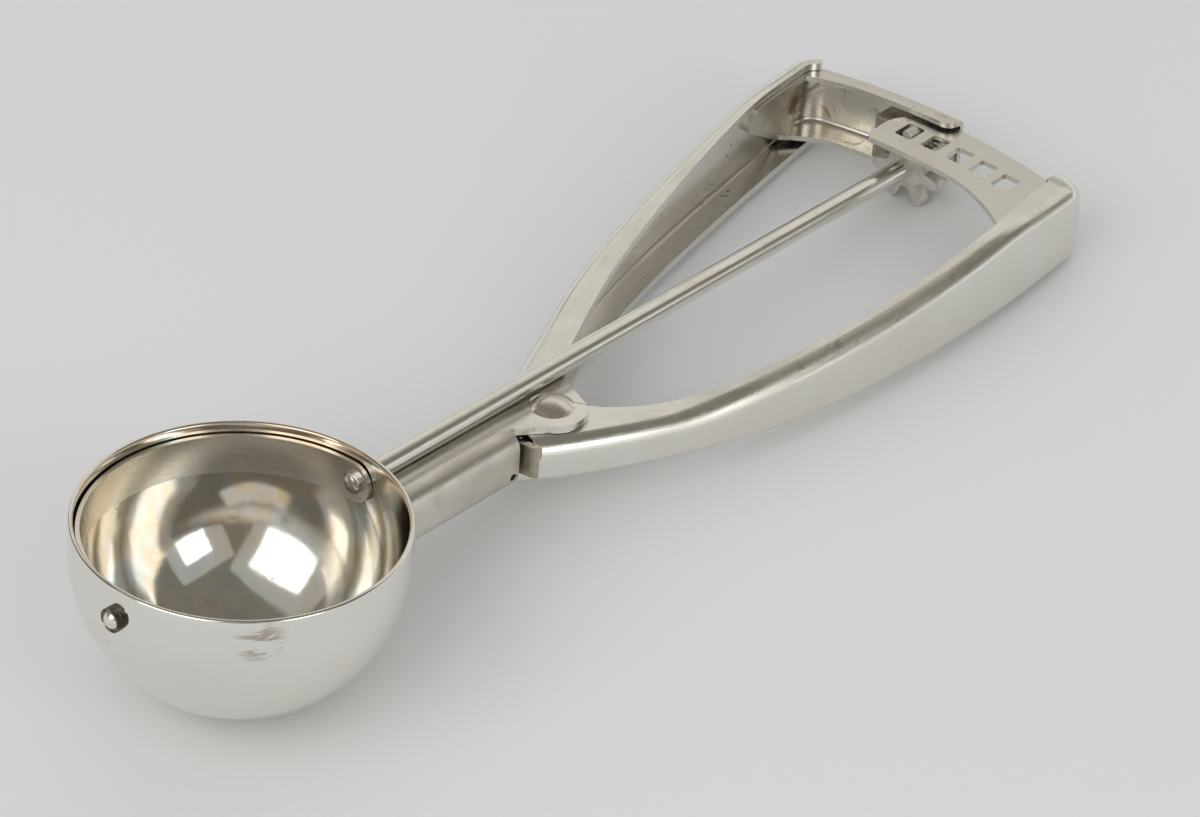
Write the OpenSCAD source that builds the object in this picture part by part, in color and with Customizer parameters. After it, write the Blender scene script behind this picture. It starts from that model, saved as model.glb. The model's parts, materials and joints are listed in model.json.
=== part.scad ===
// Lever ice cream scoop: a drawn bowl, a spherical scraper strip on a long rod, and two pressed
// channel handles. Squeezing the handles swings a windowed rack over a star wheel on the rod, and
// the strip sweeps half a turn along the bowl.
//
// Working frame: +X runs along the rod from the bowl to the handles, +Z out of the bowl's mouth,
// and the origin is the centre of the bowl's ball. placed() then stands the scoop on a table.

/* [Bowl] */
// Outer diameter of the bowl's ball
bowl_d = 57.4; // [50:0.2:66]
// Thickness of the bowl's wall
bowl_wall = 1; // [0.8:0.1:1.4]
// Height of the straight rim above the ball's centre
rim_rise = 5.8; // [4.5:0.1:9]

/* [Scraper] */
// Width of the scraper strip
strip_w = 7.5; // [6:0.1:9]
// Thickness of the scraper strip
strip_t = 0.6; // [0.5:0.05:0.9]
// Clearance between the strip and the bowl
strip_gap = 0.25; // [0.15:0.05:0.4]
// Diameter of the rod
rod_d = 3.94; // [3.4:0.02:4.4]
// How far the rod's peened end stands in from the strip
rod_peen = 1; // [0.7:0.1:1.4]
// Diameter of the front pin
pin_d = 2.2; // [1.8:0.1:2.6]
// Diameter of the front pin's heads
pin_head_d = 3; // [2.8:0.1:3.6]
// Height of the front pin's heads
pin_head_h = 0.8; // [0.6:0.1:1.1]
// Diameter of the collar on the front pin
collar_d = 4.4; // [4:0.1:5.4]
// Height of the collar on the front pin
collar_h = 1.1; // [0.8:0.1:1.5]

/* [Neck and pivot] */
// Distance from the ball's centre to the pivot along the rod
pivot_x = 71; // [66:0.5:80]
// Distance of the pivot beside the rod
pivot_side = 5.5; // [5:0.1:6]
// Gap between the rod and the neck's top plate
neck_under_rod = 0.33; // [0.25:0.01:0.6]
// Height of the neck, outside
neck_h = 11; // [10:0.1:13]
// Distance from the rod's axis to the neck's side towards the fixed handle
neck_side = 5.5; // [5.2:0.1:6.2]
// Distance from the rod's axis to the neck's other side
neck_seam_side = 8.2; // [7.6:0.1:8.8]
// Distance from the neck's end to the pivot
neck_to_pivot = 11; // [10:0.1:12]
// Radius of the neck's long corners
neck_round = 2.3; // [1.8:0.1:2.6]
// Thickness of the handles' sheet
sheet = 1.5; // [1.2:0.05:1.6]
// Radius of the fixed handle's ears round the pivot
ear_r = 6.1; // [5.4:0.1:6.6]
// Radius of the movable handle's ears round the pivot
inner_ear_r = 5.2; // [4.6:0.1:5.4]
// Diameter of the rivet's shank
rivet_d = 3.5; // [3:0.1:4]
// Diameter of the rivet's domed heads
rivet_head_d = 8.1; // [6.6:0.1:8.4]
// Height of the rivet's upper head
rivet_head_h = 1.4; // [1:0.1:1.6]
// Height of the rivet's lower head
rivet_tail_h = 1; // [0.8:0.1:1.5]
// Outer diameter of the sleeve on the rivet
sleeve_d = 5; // [4.6:0.1:5.4]
// Diameter of the return spring's wire
wire_d = 1.3; // [0.8:0.1:1.3]

/* [Fixed handle] */
// Height of the fixed handle's top at its end, above the rod's axis
fixed_top = 10.4; // [9.8:0.1:11.4]
// Angle at which the handle leaves the neck
fixed_root_angle = 26.4; // [24:0.2:29]
// Angle of the handle at its end
fixed_tip_angle = 6.1; // [4:0.1:8]
// Radius of the handle's long upper shoulder
fixed_shoulder = 3; // [2.4:0.1:3.4]
// Radius of the handles' long lower corner
low_corner = 1; // [0.8:0.1:1.6]
// Width of the top flange near the pivot
fixed_root_w = 7; // [6.4:0.1:8]
// Width of the top flange near the end
fixed_tip_w = 3.9; // [3.6:0.1:5]
// Width of the bottom flange
fixed_low_w = 6.6; // [5.6:0.1:6.8]

/* [Movable handle] */
// Angle at which the heel leaves the neck
lever_root_angle = 32.6; // [30:0.2:35]
// Angle of the lever at its end
lever_tip_angle = 4.7; // [3:0.1:6]
// Depth of the lever's bottom below the rod's axis at its end
lever_low = 5.6; // [5.2:0.1:6.4]
// Radius of the lever's long upper shoulder
lever_shoulder = 3.2; // [2.6:0.1:3.4]
// Radius of the lever's rounded end
lever_end_r = 7.2; // [6.8:0.1:8]
// Width of the top flange near the pivot
lever_root_w = 8.2; // [7.6:0.1:8.8]
// Width of the top flange at mid length
lever_mid_w = 4.7; // [4.4:0.1:5.4]
// Width of the bottom flange
lever_low_w = 5.6; // [5:0.1:6]

/* [Rack and pinion] */
// Radius from the pivot to the middle of the rack's windows
rack_r = 107; // [102:0.5:112]
// Thickness of the rack plate
rack_t = 1; // [0.8:0.1:1.2]
// Width of the rack plate beyond the windows' middle, outwards
rack_out = 7.2; // [6.6:0.1:8]
// Width of the rack plate beyond the windows' middle, inwards
rack_in = 7; // [6:0.1:8]
// Distance between the windows along the rack
window_pitch = 5.94; // [5.5:0.02:6.2]
// Length of a window, across the rack
window_l = 4.9; // [4.4:0.1:5.6]
// Width of a window, along the rack
window_w = 3.7; // [3.5:0.05:4]
// Radius of the windows' corners
window_round = 0.5; // [0.3:0.1:1]
// Radius of the star wheel to its teeth's tips
tooth_tip_r = 7.9; // [7.7:0.1:8.4]
// Thickness of a tooth
tooth_w = 2.2; // [1.8:0.1:2.4]
// Radius of the star wheel's hub
hub_r = 4.3; // [3.8:0.1:4.6]
// Thickness of the star wheel
pinion_t = 2.6; // [2.2:0.1:3]

/* [Arm bracket] */
// Thickness of the bracket's sheet
arm_sheet = 1; // [0.8:0.1:1.2]
// Width of the bracket's top flange
arm_top_w = 4.3; // [4:0.1:4.8]
// Width of the bracket's bottom flange
arm_low_w = 6.7; // [5:0.1:6.8]
// Outer radius of the bend between the arm and its leg
arm_bend_r = 5.5; // [5.3:0.1:6]
// Length of the leg along the fixed handle
leg_l = 17; // [14:0.5:19]
// Length of the rod's bearing block along the arm
bearing_l = 14.9; // [12:0.1:16]

/* [Hidden] */
$fn = 96;

// Clearances
seat_gap = 0.1;        // between pieces that are riveted or welded together
run_gap = 0.06;        // between a turning shaft and its hole
fit_gap = 0.03;        // between a shaft and what is fixed on it
slide_gap = 0.25;      // between plates that slide past each other
rack_gap = 0.7;        // round the rack inside the arm bracket
over = 1;              // how far a cutting shape runs past what it cuts

// Bowl
ball_r = bowl_d / 2;
bore_r = ball_r - bowl_wall;
strip_r = bore_r - strip_gap;
rod_r = rod_d / 2;
pin_r = pin_d / 2;

// Neck and pivot
pivot = [pivot_x, -pivot_side];
neck_top = -rod_r - neck_under_rod;
neck_low = neck_top - neck_h;
neck_end = pivot_x - neck_to_pivot;
neck_start = floor(sqrt(ball_r * ball_r - neck_seam_side * neck_seam_side - neck_low * neck_low));
seam_y = neck_round - neck_seam_side + 0.8;
lever_top = neck_top - sheet - seat_gap;
lever_bottom = neck_low + sheet + seat_gap;

// Rack and arm, all on circles round the pivot
teeth = 7;
windows = 5;
first_tooth = 3;
mesh_play = 3;
sweep = 180;
tooth_step = 360 / teeth;
window_step = window_pitch / rack_r * 180 / PI;
squeeze = sweep * window_step / tooth_step;
rod_angle = asin(pivot_side / rack_r);
pinion_x = pivot_x + rack_r * cos(rod_angle);
first_window = rod_angle + (first_tooth + mesh_play) * window_step / tooth_step;
rack_outer = rack_r + rack_out;
rack_inner = rack_r - rack_in;
arm_r = rack_outer + rack_gap + arm_sheet;
arm_top = fixed_top - sheet - seat_gap;
rack_top = arm_top - arm_sheet - rack_gap;
rack_low = rack_top - rack_t;
arm_end_angle = 0.2;
arm_bend_angle = 15;
arm_bend_c = pivot + polar(arm_r - arm_bend_r, arm_bend_angle);

// Ends of the handles
fixed_end_r = arm_bend_r + seat_gap + sheet;
fixed_end_turn = 32;
lever_stop = 1.2;
lever_reach = 4.7;
lever_c = pivot + polar(rack_r + lever_reach, arm_end_angle - squeeze - lever_stop);
lever_end_top = rack_top + sheet + 2 * seat_gap;

// Resting on a table: the ball and the star wheel's lowest tooth touch it, and the two handles' ends
// stand level just above it
low_tooth = tooth_step / 2 - first_tooth;
foot = [pinion_x + pinion_t / 2, -(tooth_tip_r - tooth_w / 2) * cos(low_tooth) - tooth_w / 2];
rest_tilt = asin(ball_r / norm(foot)) - atan2(-foot.y, foot.x);
ends_apart = lever_c.x + lever_end_r - arm_bend_c.x - fixed_end_r;
fixed_low = -lever_low - ends_apart * tan(rest_tilt);
arm_lift = 0.5;
arm_low = fixed_low + sheet + arm_lift;

// Heights along the handles
top_rise_from = pivot_x + 14;
top_rise_to = pivot_x + rack_inner - 4;
top_blend = 10;
low_rise_from = pivot_x + 27;
low_rise_to = pivot_x + rack_outer + 1;
low_blend = 14;
end_fall = 1.2;
end_rise = 2.6;
function fixed_top_z(x) = neck_top
    + (fixed_top - neck_top) * ramp(x - top_rise_from, top_rise_to - top_rise_from, top_blend);
function fixed_low_z(x) = neck_low
    + (fixed_low - neck_low) * ramp(x - low_rise_from, low_rise_to - low_rise_from, low_blend);
function past_end(x) = max(0, (x - lever_c.x) / lever_end_r);
function lever_top_z(x) = lever_top - end_fall * pow(past_end(x), 2)
    + (lever_end_top - lever_top) * ramp(x - top_rise_from, top_rise_to - top_rise_from, top_blend);
function lever_low_z(x) = lever_bottom + end_rise * pow(past_end(x), 2)
    + (-lever_low - lever_bottom) * ramp(x - low_rise_from, low_rise_to - low_rise_from, low_blend);

// General curves
function polar(r, a) = r * [cos(a), sin(a)];
function unit(v) = v / norm(v);
function lerp(a, b, t) = a + (b - a) * t;
function ramp(u, run, blend) =
    u <= 0 ? 0 :
    u < blend ? u * u / (2 * blend * (run - blend)) :
    u < run - blend ? (u - blend / 2) / (run - blend) :
    u < run ? 1 - (run - u) * (run - u) / (2 * blend * (run - blend)) : 1;
function arc(c, r, a0, a1, n) = [for (i = [0:n]) c + polar(r, lerp(a0, a1, i / n))];
function bezier(p, t) =
    pow(1 - t, 3) * p[0] + 3 * (1 - t) * (1 - t) * t * p[1] + 3 * (1 - t) * t * t * p[2] + pow(t, 3) * p[3];
function bezier_dir(p, t) =
    unit((1 - t) * (1 - t) * (p[1] - p[0]) + 2 * (1 - t) * t * (p[2] - p[1]) + t * t * (p[3] - p[2]));
function right_of(v) = [v.y, -v.x];
function left_of(v) = [-v.y, v.x];

// A pressed channel is lofted through stations along its web. A station is [web, inward, edge, low_w]:
// the web's outer point in plan, the web's inward normal, the free edge of the top flange, and the
// width of the bottom flange. A section point is [distance in from the web, height, on the top half].
shoulder_steps = 7;
corner_steps = 3;
bend_min = 0.4;
function channel_section(top_w, low_w, skew, r_top, r_low) =
    let (in_top = max(r_top - sheet, bend_min), in_low = max(r_low - sheet, bend_min),
         top_arc = arc([r_top, -r_top], r_top, 90, 180, shoulder_steps),
         low_arc = arc([r_low, r_low], r_low, 180, 270, corner_steps),
         in_low_arc = arc([sheet + in_low, sheet + in_low], in_low, 270, 180, corner_steps),
         in_top_arc = arc([sheet + in_top, -sheet - in_top], in_top, 180, 90, shoulder_steps))
    concat([[top_w, 0, true]],
           [for (p = top_arc) [p.x * skew, p.y, true]],
           [for (p = low_arc) [p.x * skew, p.y, false]],
           [[low_w, 0, false], [low_w, sheet, false]],
           [for (p = in_low_arc) [p.x * skew, p.y, false]],
           [for (p = in_top_arc) [p.x * skew, p.y, true]],
           [[top_w, -sheet, true]]);

// Each ring has an even number of points, and an end is closed by strips between its two halves
module loft(rings) {
    n = len(rings[0]);
    m = len(rings);
    last = (m - 1) * n;
    near_end = [for (j = [0:n / 2 - 2]) [n - 1 - j, n - 2 - j, j + 1, j]];
    far_end = [for (j = [0:n / 2 - 2]) [last + j, last + j + 1, last + n - 2 - j, last + n - 1 - j]];
    sides = [for (i = [0:m - 2], j = [0:n - 1])
             let (a = i * n + j, b = i * n + (j + 1) % n)
             each [[a, b, b + n], [a, b + n, a + n]]];
    polyhedron([for (ring = rings) each ring], concat(near_end, sides, far_end));
}

// Fixed handle: the neck's web, the ears, the handle and its rounded end
bend_x = pivot_x + 1.9;
fixed_bend_r = 15;
bend_run = fixed_bend_r * tan(fixed_root_angle / 2);
fixed_bend_c = [bend_x - bend_run, neck_side + fixed_bend_r];
fixed_from = fixed_bend_c + polar(fixed_bend_r, fixed_root_angle - 90);
fixed_to = arm_bend_c + polar(fixed_end_r, 90 + fixed_tip_angle);
fixed_pull = rack_r * [0.234, 0.645];
fixed_curve = [fixed_from, fixed_from + polar(fixed_pull[0], fixed_root_angle),
               fixed_to - polar(fixed_pull[1], fixed_tip_angle), fixed_to];
tip_c = pivot + [4.2, -3.2];
tip_r = 2;
inner_corner = pivot + [12.5, 8.7];
tip_lean = atan2(inner_corner.x - tip_c.x, inner_corner.y - tip_c.y);
ear_edge = concat([[neck_end, seam_y], [neck_end + 0.3, neck_round - neck_seam_side - 0.2],
                   [neck_end + 2.3, neck_round - neck_seam_side + 0.3]],
                  arc(pivot, ear_r, 200, 282, 5),
                  arc(tip_c, tip_r, -78, -tip_lean, 3));

function fixed_top_w(x) = lerp(fixed_root_w, fixed_tip_w, ramp(x - pivot_x - 14, 76, 20));
function across(p, n, w, low_w) = [p, n, p + w * n, low_w];
function along_edge(p, n, q) = [p, n, q, norm(q - p)];

fixed_stations = concat(
    [for (x = [neck_start, neck_end - 12]) along_edge([x, neck_side], [0, -1], [x, seam_y])],
    [for (i = [0:len(ear_edge) - 1])
     along_edge([lerp(neck_end - 0.7, bend_x - bend_run - 0.3, i / (len(ear_edge) - 1)), neck_side],
                [0, -1], ear_edge[i])],
    [for (i = [1:3])
     let (a = fixed_root_angle * i / 3, n = polar(1, a - 90))
     along_edge(fixed_bend_c + fixed_bend_r * n, n,
                lerp(tip_c + polar(tip_r, -tip_lean), inner_corner, i / 4))],
    [for (i = [1:15])
     let (t = pow(i / 15, 0.85), p = bezier(fixed_curve, t), n = right_of(bezier_dir(fixed_curve, t)),
          w = fixed_top_w(p.x))
     across(p, n, w, lerp(w, fixed_low_w, min(i / 4, 1)))],
    [for (i = [1:7])
     let (a = lerp(90 + fixed_tip_angle, fixed_end_turn, i / 7), n = -polar(1, a))
     across(arm_bend_c - fixed_end_r * n, n, fixed_tip_w, fixed_low_w)]);

// Movable handle: heel, hidden ears, lever and rounded end
lever_from = pivot + [-8.8, -5.3];
heel_h = 6.6;
ear_tail = [6.4, -2.6];
lever_pull = rack_r * [0.18, 0.5645];
lever_to = lever_c + polar(lever_end_r, lever_tip_angle - 90);
lever_curve = [lever_from, lever_from + polar(lever_pull[0], -lever_root_angle),
               lever_to - polar(lever_pull[1], lever_tip_angle), lever_to];
lever_ear_edge = concat([lever_from + polar(heel_h, 78)], arc(pivot, inner_ear_r, 148, 12, 7),
                        [pivot + ear_tail]);
lever_ear_t = 0.2;
lever_edge_r = 0.8;

function lever_top_w(x) = lever_mid_w + (lever_root_w - lever_mid_w) * exp((pivot_x + 5 - x) / 10)
    + (lever_end_r - lever_edge_r - lever_mid_w) * ramp(x - pivot_x - 85, 24, 11);

lever_stations = concat(
    [for (i = [0:len(lever_ear_edge) - 1])
     let (t = lever_ear_t * i / len(lever_ear_edge))
     along_edge(bezier(lever_curve, t), left_of(bezier_dir(lever_curve, t)), lever_ear_edge[i])],
    [for (i = [0:15])
     let (t = lerp(lever_ear_t, 1, i / 15), p = bezier(lever_curve, t),
          n = left_of(bezier_dir(lever_curve, t)), w = lever_top_w(p.x))
     across(p, n, w, lerp(w, lever_low_w, min(i / 4, 1)))],
    [for (i = [1:8])
     let (a = lerp(lever_tip_angle - 90, 0, i / 8), n = -polar(1, a))
     across(lever_c - lever_end_r * n, n, lever_end_r - lever_edge_r, lever_low_w)]);

shoulder_run = 20;
function fixed_ring(s) =
    let (d = unit(s[2] - s[0]), r_top = lerp(neck_round, fixed_shoulder, ramp(s[0].x - bend_x, shoulder_run, shoulder_run / 3)),
         r_low = lerp(neck_round, low_corner, ramp(s[0].x - bend_x, shoulder_run, shoulder_run / 3)))
    [for (p = channel_section(norm(s[2] - s[0]), s[3], 1 / (d * s[1]), r_top, r_low))
     let (q = s[0] + d * p.x) [q.x, q.y, p.y + (p[2] ? fixed_top_z(q.x) : fixed_low_z(q.x))]];

function lever_ring(s) =
    let (d = unit(s[2] - s[0]))
    [for (p = channel_section(norm(s[2] - s[0]), s[3], 1 / (d * s[1]), lever_shoulder, low_corner))
     let (q = s[0] + d * p.x) [q.x, q.y, p.y + (p[2] ? lever_top_z(q.x) : lever_low_z(q.x))]];

// The scoop's box in the resting pose
lever_rings = [for (s = lever_stations) lever_ring(s)];
fixed_rings = [for (s = fixed_stations) fixed_ring(s)];
function reach(p) = p.x * cos(rest_tilt) + p.z * sin(rest_tilt);
back_x = max([for (ring = lever_rings) each [for (p = ring) reach(p)]]);
front_x = -(ball_r + collar_h + pin_head_h) * cos(rest_tilt);
left_y = max([for (ring = fixed_rings) each [for (p = ring) p.y]]);
right_y = min([for (ring = lever_rings) each [for (p = ring) p.y]]);

module placed()
    translate([-(back_x + front_x) / 2, -(left_y + right_y) / 2, ball_r])
        rotate([0, rest_tilt, 0])
            children();

// A solid disc or tube along X from x0 to x1
module along_x(r, x0, x1)
    translate([x0, 0, 0])
        rotate([0, 90, 0])
            cylinder(r = r, h = x1 - x0);

// A domed cap of base radius r and height h, standing on z = 0
module dome(r, h) {
    ball = (r * r + h * h) / (2 * h);
    intersection() {
        translate([0, 0, h - ball])
            sphere(r = ball);
        cylinder(r = r + over, h = h + over);
    }
}

// A rectangle with rounded corners, from its lower left corner
module rounded_rect(w, h, r) {
    translate([r, 0])
        square([w - 2 * r, h]);
    translate([0, r])
        square([w, h - 2 * r]);
    for (x = [r, w - r], y = [r, h - r])
        translate([x, y])
            circle(r = r);
}

module bowl_profile() {
    difference() {
        union() {
            circle(r = ball_r);
            translate([0, 0])
                square([ball_r, rim_rise - bowl_wall / 2]);
        }
        circle(r = bore_r);
        square([bore_r, rim_rise + ball_r]);
        translate([-ball_r - over, -ball_r - over])
            square([ball_r + over, 2 * ball_r + 2 * over]);
        translate([-over, rim_rise - bowl_wall / 2])
            square([2 * ball_r, ball_r]);
    }
    translate([ball_r - bowl_wall / 2, rim_rise - bowl_wall / 2])
        circle(r = bowl_wall / 2);
}

module bowl()
    placed()
        color([0.78, 0.76, 0.71])
            difference() {
                rotate_extrude()
                    bowl_profile();
                along_x(rod_r + run_gap, bore_r - 2, ball_r + over);
                along_x(pin_r + fit_gap, -ball_r - over, 2 - bore_r);
            }

module scraper_blade()
    placed()
        color([0.8, 0.76, 0.66])
            difference() {
                intersection() {
                    difference() {
                        sphere(r = strip_r);
                        sphere(r = strip_r - strip_t);
                    }
                    union() {
                        translate([-ball_r, 0, -strip_w / 2])
                            cube([2 * ball_r, ball_r, strip_w]);
                        along_x(strip_w / 2, -ball_r, ball_r);
                    }
                }
                along_x(rod_r + fit_gap, 0, ball_r);
                along_x(pin_r + run_gap, -ball_r, 0);
            }

rod_start = strip_r - strip_t - rod_peen;
rod_end = pivot_x + sqrt(pow(arm_r - arm_sheet - slide_gap, 2) - pow(pivot_side + rod_r, 2));
module rod()
    placed()
        color([0.74, 0.72, 0.68]) {
            along_x(rod_r, rod_start + rod_peen / 2, rod_end);
            translate([rod_start + rod_peen / 2, 0, 0])
                rotate([0, -90, 0])
                    dome(rod_r, rod_peen / 2);
        }

module front_pin()
    placed()
        color([0.72, 0.7, 0.66]) {
            along_x(pin_r, -ball_r - collar_h, strip_t + seat_gap - strip_r);
            translate([-ball_r - collar_h, 0, 0])
                rotate([0, -90, 0])
                    dome(pin_head_d / 2, pin_head_h);
            translate([strip_t + seat_gap - strip_r, 0, 0])
                rotate([0, 90, 0])
                    dome(pin_head_d / 2, pin_head_h);
        }

notch_w = 0.7;
module front_collar()
    placed()
        color([0.42, 0.4, 0.36])
            difference() {
                along_x(collar_d / 2, -ball_r - collar_h, -ball_r);
                along_x(pin_r + fit_gap, -ball_r - collar_h - over, 0);
                for (a = [45:90:315])
                    rotate([a, 0, 0])
                        translate([-ball_r - collar_h - over, collar_d / 2 - notch_w / 2, -notch_w / 2])
                            cube([over + collar_h / 2, collar_d, notch_w]);
            }

// The rolled side of the neck, which closes the channel into a tube
relief_d = 1.4;
slit_w = 0.3;
module neck_fold()
    difference() {
        translate([neck_start, 0, 0])
            rotate([90, 0, 90])
                linear_extrude(neck_end - neck_start)
                    difference() {
                        translate([-neck_seam_side, neck_low])
                            rounded_rect(2 * neck_seam_side, neck_h, neck_round);
                        translate([sheet - neck_seam_side, neck_low + sheet])
                            rounded_rect(2 * neck_seam_side, neck_h - 2 * sheet, neck_round - sheet);
                        translate([seam_y, neck_low - over])
                            square([2 * neck_seam_side, neck_h + 2 * over]);
                    }
        translate([neck_end - relief_d, 0, neck_low + neck_round + relief_d / 2])
            rotate([90, 0, 0])
                cylinder(d = relief_d, h = 2 * neck_seam_side);
        translate([neck_end - relief_d, -2 * neck_seam_side, neck_low + neck_round + relief_d / 2 - slit_w / 2])
            cube([2 * relief_d, 2 * neck_seam_side + seam_y, slit_w]);
    }

end_corner_r = 2.5;
module end_corner()
    translate([arm_bend_c.x, arm_bend_c.y, fixed_top - end_corner_r])
        rotate([90, 0, 90 + fixed_end_turn])
            linear_extrude(fixed_end_r + over)
                difference() {
                    translate([-over, 0])
                        square(end_corner_r + over);
                    translate([end_corner_r, 0])
                        circle(r = end_corner_r);
                }

module fixed_handle()
    placed()
        color([0.77, 0.75, 0.7])
            difference() {
                union() {
                    loft(fixed_rings);
                    neck_fold();
                }
                end_corner();
                sphere(r = ball_r + seat_gap);
                translate([pivot.x, pivot.y, neck_low - over])
                    cylinder(d = rivet_d + 2 * fit_gap, h = neck_h + 2 * over);
            }

module movable_handle()
    placed()
        color([0.75, 0.73, 0.68])
            difference() {
                loft([for (i = [len(lever_rings) - 1:-1:0]) lever_rings[i]]);
                translate([pivot.x, pivot.y, lever_bottom - over])
                    cylinder(d = rivet_d + 2 * run_gap, h = lever_top - lever_bottom + 2 * over);
            }

// The bracket's bent wall: its outer face at x = 0 and its top flange towards -x
arm_round = fixed_shoulder - sheet + slide_gap;
bend_steps = 5;
module arm_section() {
    c = [-arm_round, arm_top - arm_round];
    polygon(concat([[-arm_top_w, arm_top]],
                   arc(c, arm_round, 90, 0, bend_steps),
                   [[0, arm_low], [-arm_sheet, arm_low]],
                   arc(c, arm_round - arm_sheet, 0, 90, bend_steps),
                   [[-arm_top_w, arm_top - arm_sheet]]));
}

module swept_section(c, r, a0, a1)
    translate([c.x, c.y, 0])
        rotate([0, 0, a0])
            rotate_extrude(angle = a1 - a0)
                translate([r, 0])
                    arm_section();

// The bottom flange, which narrows round the corner to nothing along the leg
corner_from = arm_bend_angle - 3;
leg_flat = 6;
module arm_floor() {
    mid = arm_sheet / 2;
    leg_n = polar(1, 90 + fixed_tip_angle);
    leg_corner = arm_bend_c - polar(leg_flat - arm_sheet / 2, fixed_tip_angle);
    near = pivot + polar(arm_r - arm_low_w, corner_from);
    far = leg_corner + (arm_bend_r - arm_sheet) * leg_n;
    pull = leg_flat * 0.6;
    edge = [far, far + polar(pull, fixed_tip_angle - 50), near + polar(pull, corner_from + 90), near];
    linear_extrude(arm_sheet)
        polygon(concat(arc(pivot, arm_r - mid, arm_end_angle, arm_bend_angle, 24),
                       arc(arm_bend_c, arm_bend_r - mid, arm_bend_angle, 90 + fixed_tip_angle, 8),
                       [leg_corner + (arm_bend_r - mid) * leg_n],
                       [for (i = [0:8]) bezier(edge, i / 8)],
                       arc(pivot, arm_r - arm_low_w, corner_from, arm_end_angle, 24)));
}

// What is cut off the leg: its lower edge slants up to a rounded end, and its top flange is narrow
// and ends where the handle's top starts to fall
leg_end_r = 3.5;
leg_slant = 32;
leg_top_w = 2;
leg_flange_l = 8;
module leg_cut() {
    end_c = [leg_end_r - leg_l, arm_low + (leg_l - leg_flat - leg_end_r) * tan(leg_slant)
                                + leg_end_r / cos(leg_slant)];
    translate([0, arm_bend_r + over, 0])
        rotate([90, 0, 0])
            linear_extrude(arm_sheet + 2 * over)
                polygon(concat([[-leg_flat, arm_low - over], [-leg_flat, arm_low]],
                               arc(end_c, leg_end_r, 270 - leg_slant, 180, 6),
                               [[-leg_l - over, end_c.y], [-leg_l - over, arm_low - over]]));
    translate([-leg_l - over, arm_bend_r - arm_top_w - over, arm_top - arm_sheet - slide_gap])
        cube([leg_l + over, arm_top_w + over - leg_top_w, arm_sheet + over]);
    translate([-leg_l - over, arm_bend_r - arm_top_w - over, arm_top - arm_round - slide_gap])
        cube([leg_l + over - leg_flange_l, arm_top_w + 2 * over, arm_round + over]);
}

flange_corner_r = 2.5;
module arm_bracket()
    placed()
        color([0.7, 0.66, 0.57])
            difference() {
                union() {
                    swept_section(pivot, arm_r, arm_end_angle, arm_bend_angle);
                    swept_section(arm_bend_c, arm_bend_r, arm_bend_angle, 90 + fixed_tip_angle);
                    translate([0, 0, arm_low])
                        arm_floor();
                    translate([arm_bend_c.x, arm_bend_c.y, 0])
                        rotate([0, 0, fixed_tip_angle])
                            translate([-leg_l, arm_bend_r, 0])
                                rotate([90, 0, 90])
                                    linear_extrude(leg_l)
                                        arm_section();
                }
                translate([arm_bend_c.x, arm_bend_c.y, 0])
                    rotate([0, 0, fixed_tip_angle])
                        leg_cut();
                translate([pivot.x, pivot.y, arm_top - arm_sheet - slide_gap])
                    rotate([0, 0, arm_end_angle])
                        translate([arm_r - arm_top_w, 0, 0])
                            linear_extrude(arm_sheet + over)
                                polygon(concat([[-over, -over], [flange_corner_r, -over]],
                                               arc([flange_corner_r, flange_corner_r], flange_corner_r, 270, 180, 5),
                                               [[-over, flange_corner_r]]));
            }

bearing_front = pinion_x + pinion_t / 2 + 2 * slide_gap;
bearing_from = -4.7;
module rod_bearing()
    placed()
        color([0.68, 0.67, 0.64])
            difference() {
                translate([0, 0, arm_low + arm_sheet])
                    linear_extrude(rack_low - slide_gap - arm_low - arm_sheet)
                        intersection() {
                            translate(pivot)
                                circle(r = arm_r - arm_sheet - seat_gap, $fn = 360);
                            translate([bearing_front, bearing_from])
                                square([arm_r, bearing_l]);
                        }
                along_x(rod_r + run_gap, bearing_front - over, rod_end + over);
            }

module pinion()
    placed()
        color([0.58, 0.58, 0.56])
            translate([pinion_x - pinion_t / 2, 0, 0])
                rotate([0, 90, 0])
                    linear_extrude(pinion_t)
                        difference() {
                            union() {
                                circle(r = hub_r);
                                for (i = [0:teeth - 1])
                                    rotate(180 - first_tooth + i * tooth_step) {
                                        translate([0, -tooth_w / 2])
                                            square([tooth_tip_r - tooth_w / 2, tooth_w]);
                                        translate([tooth_tip_r - tooth_w / 2, 0])
                                            circle(d = tooth_w);
                                    }
                            }
                            circle(r = rod_r + fit_gap);
                        }

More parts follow.
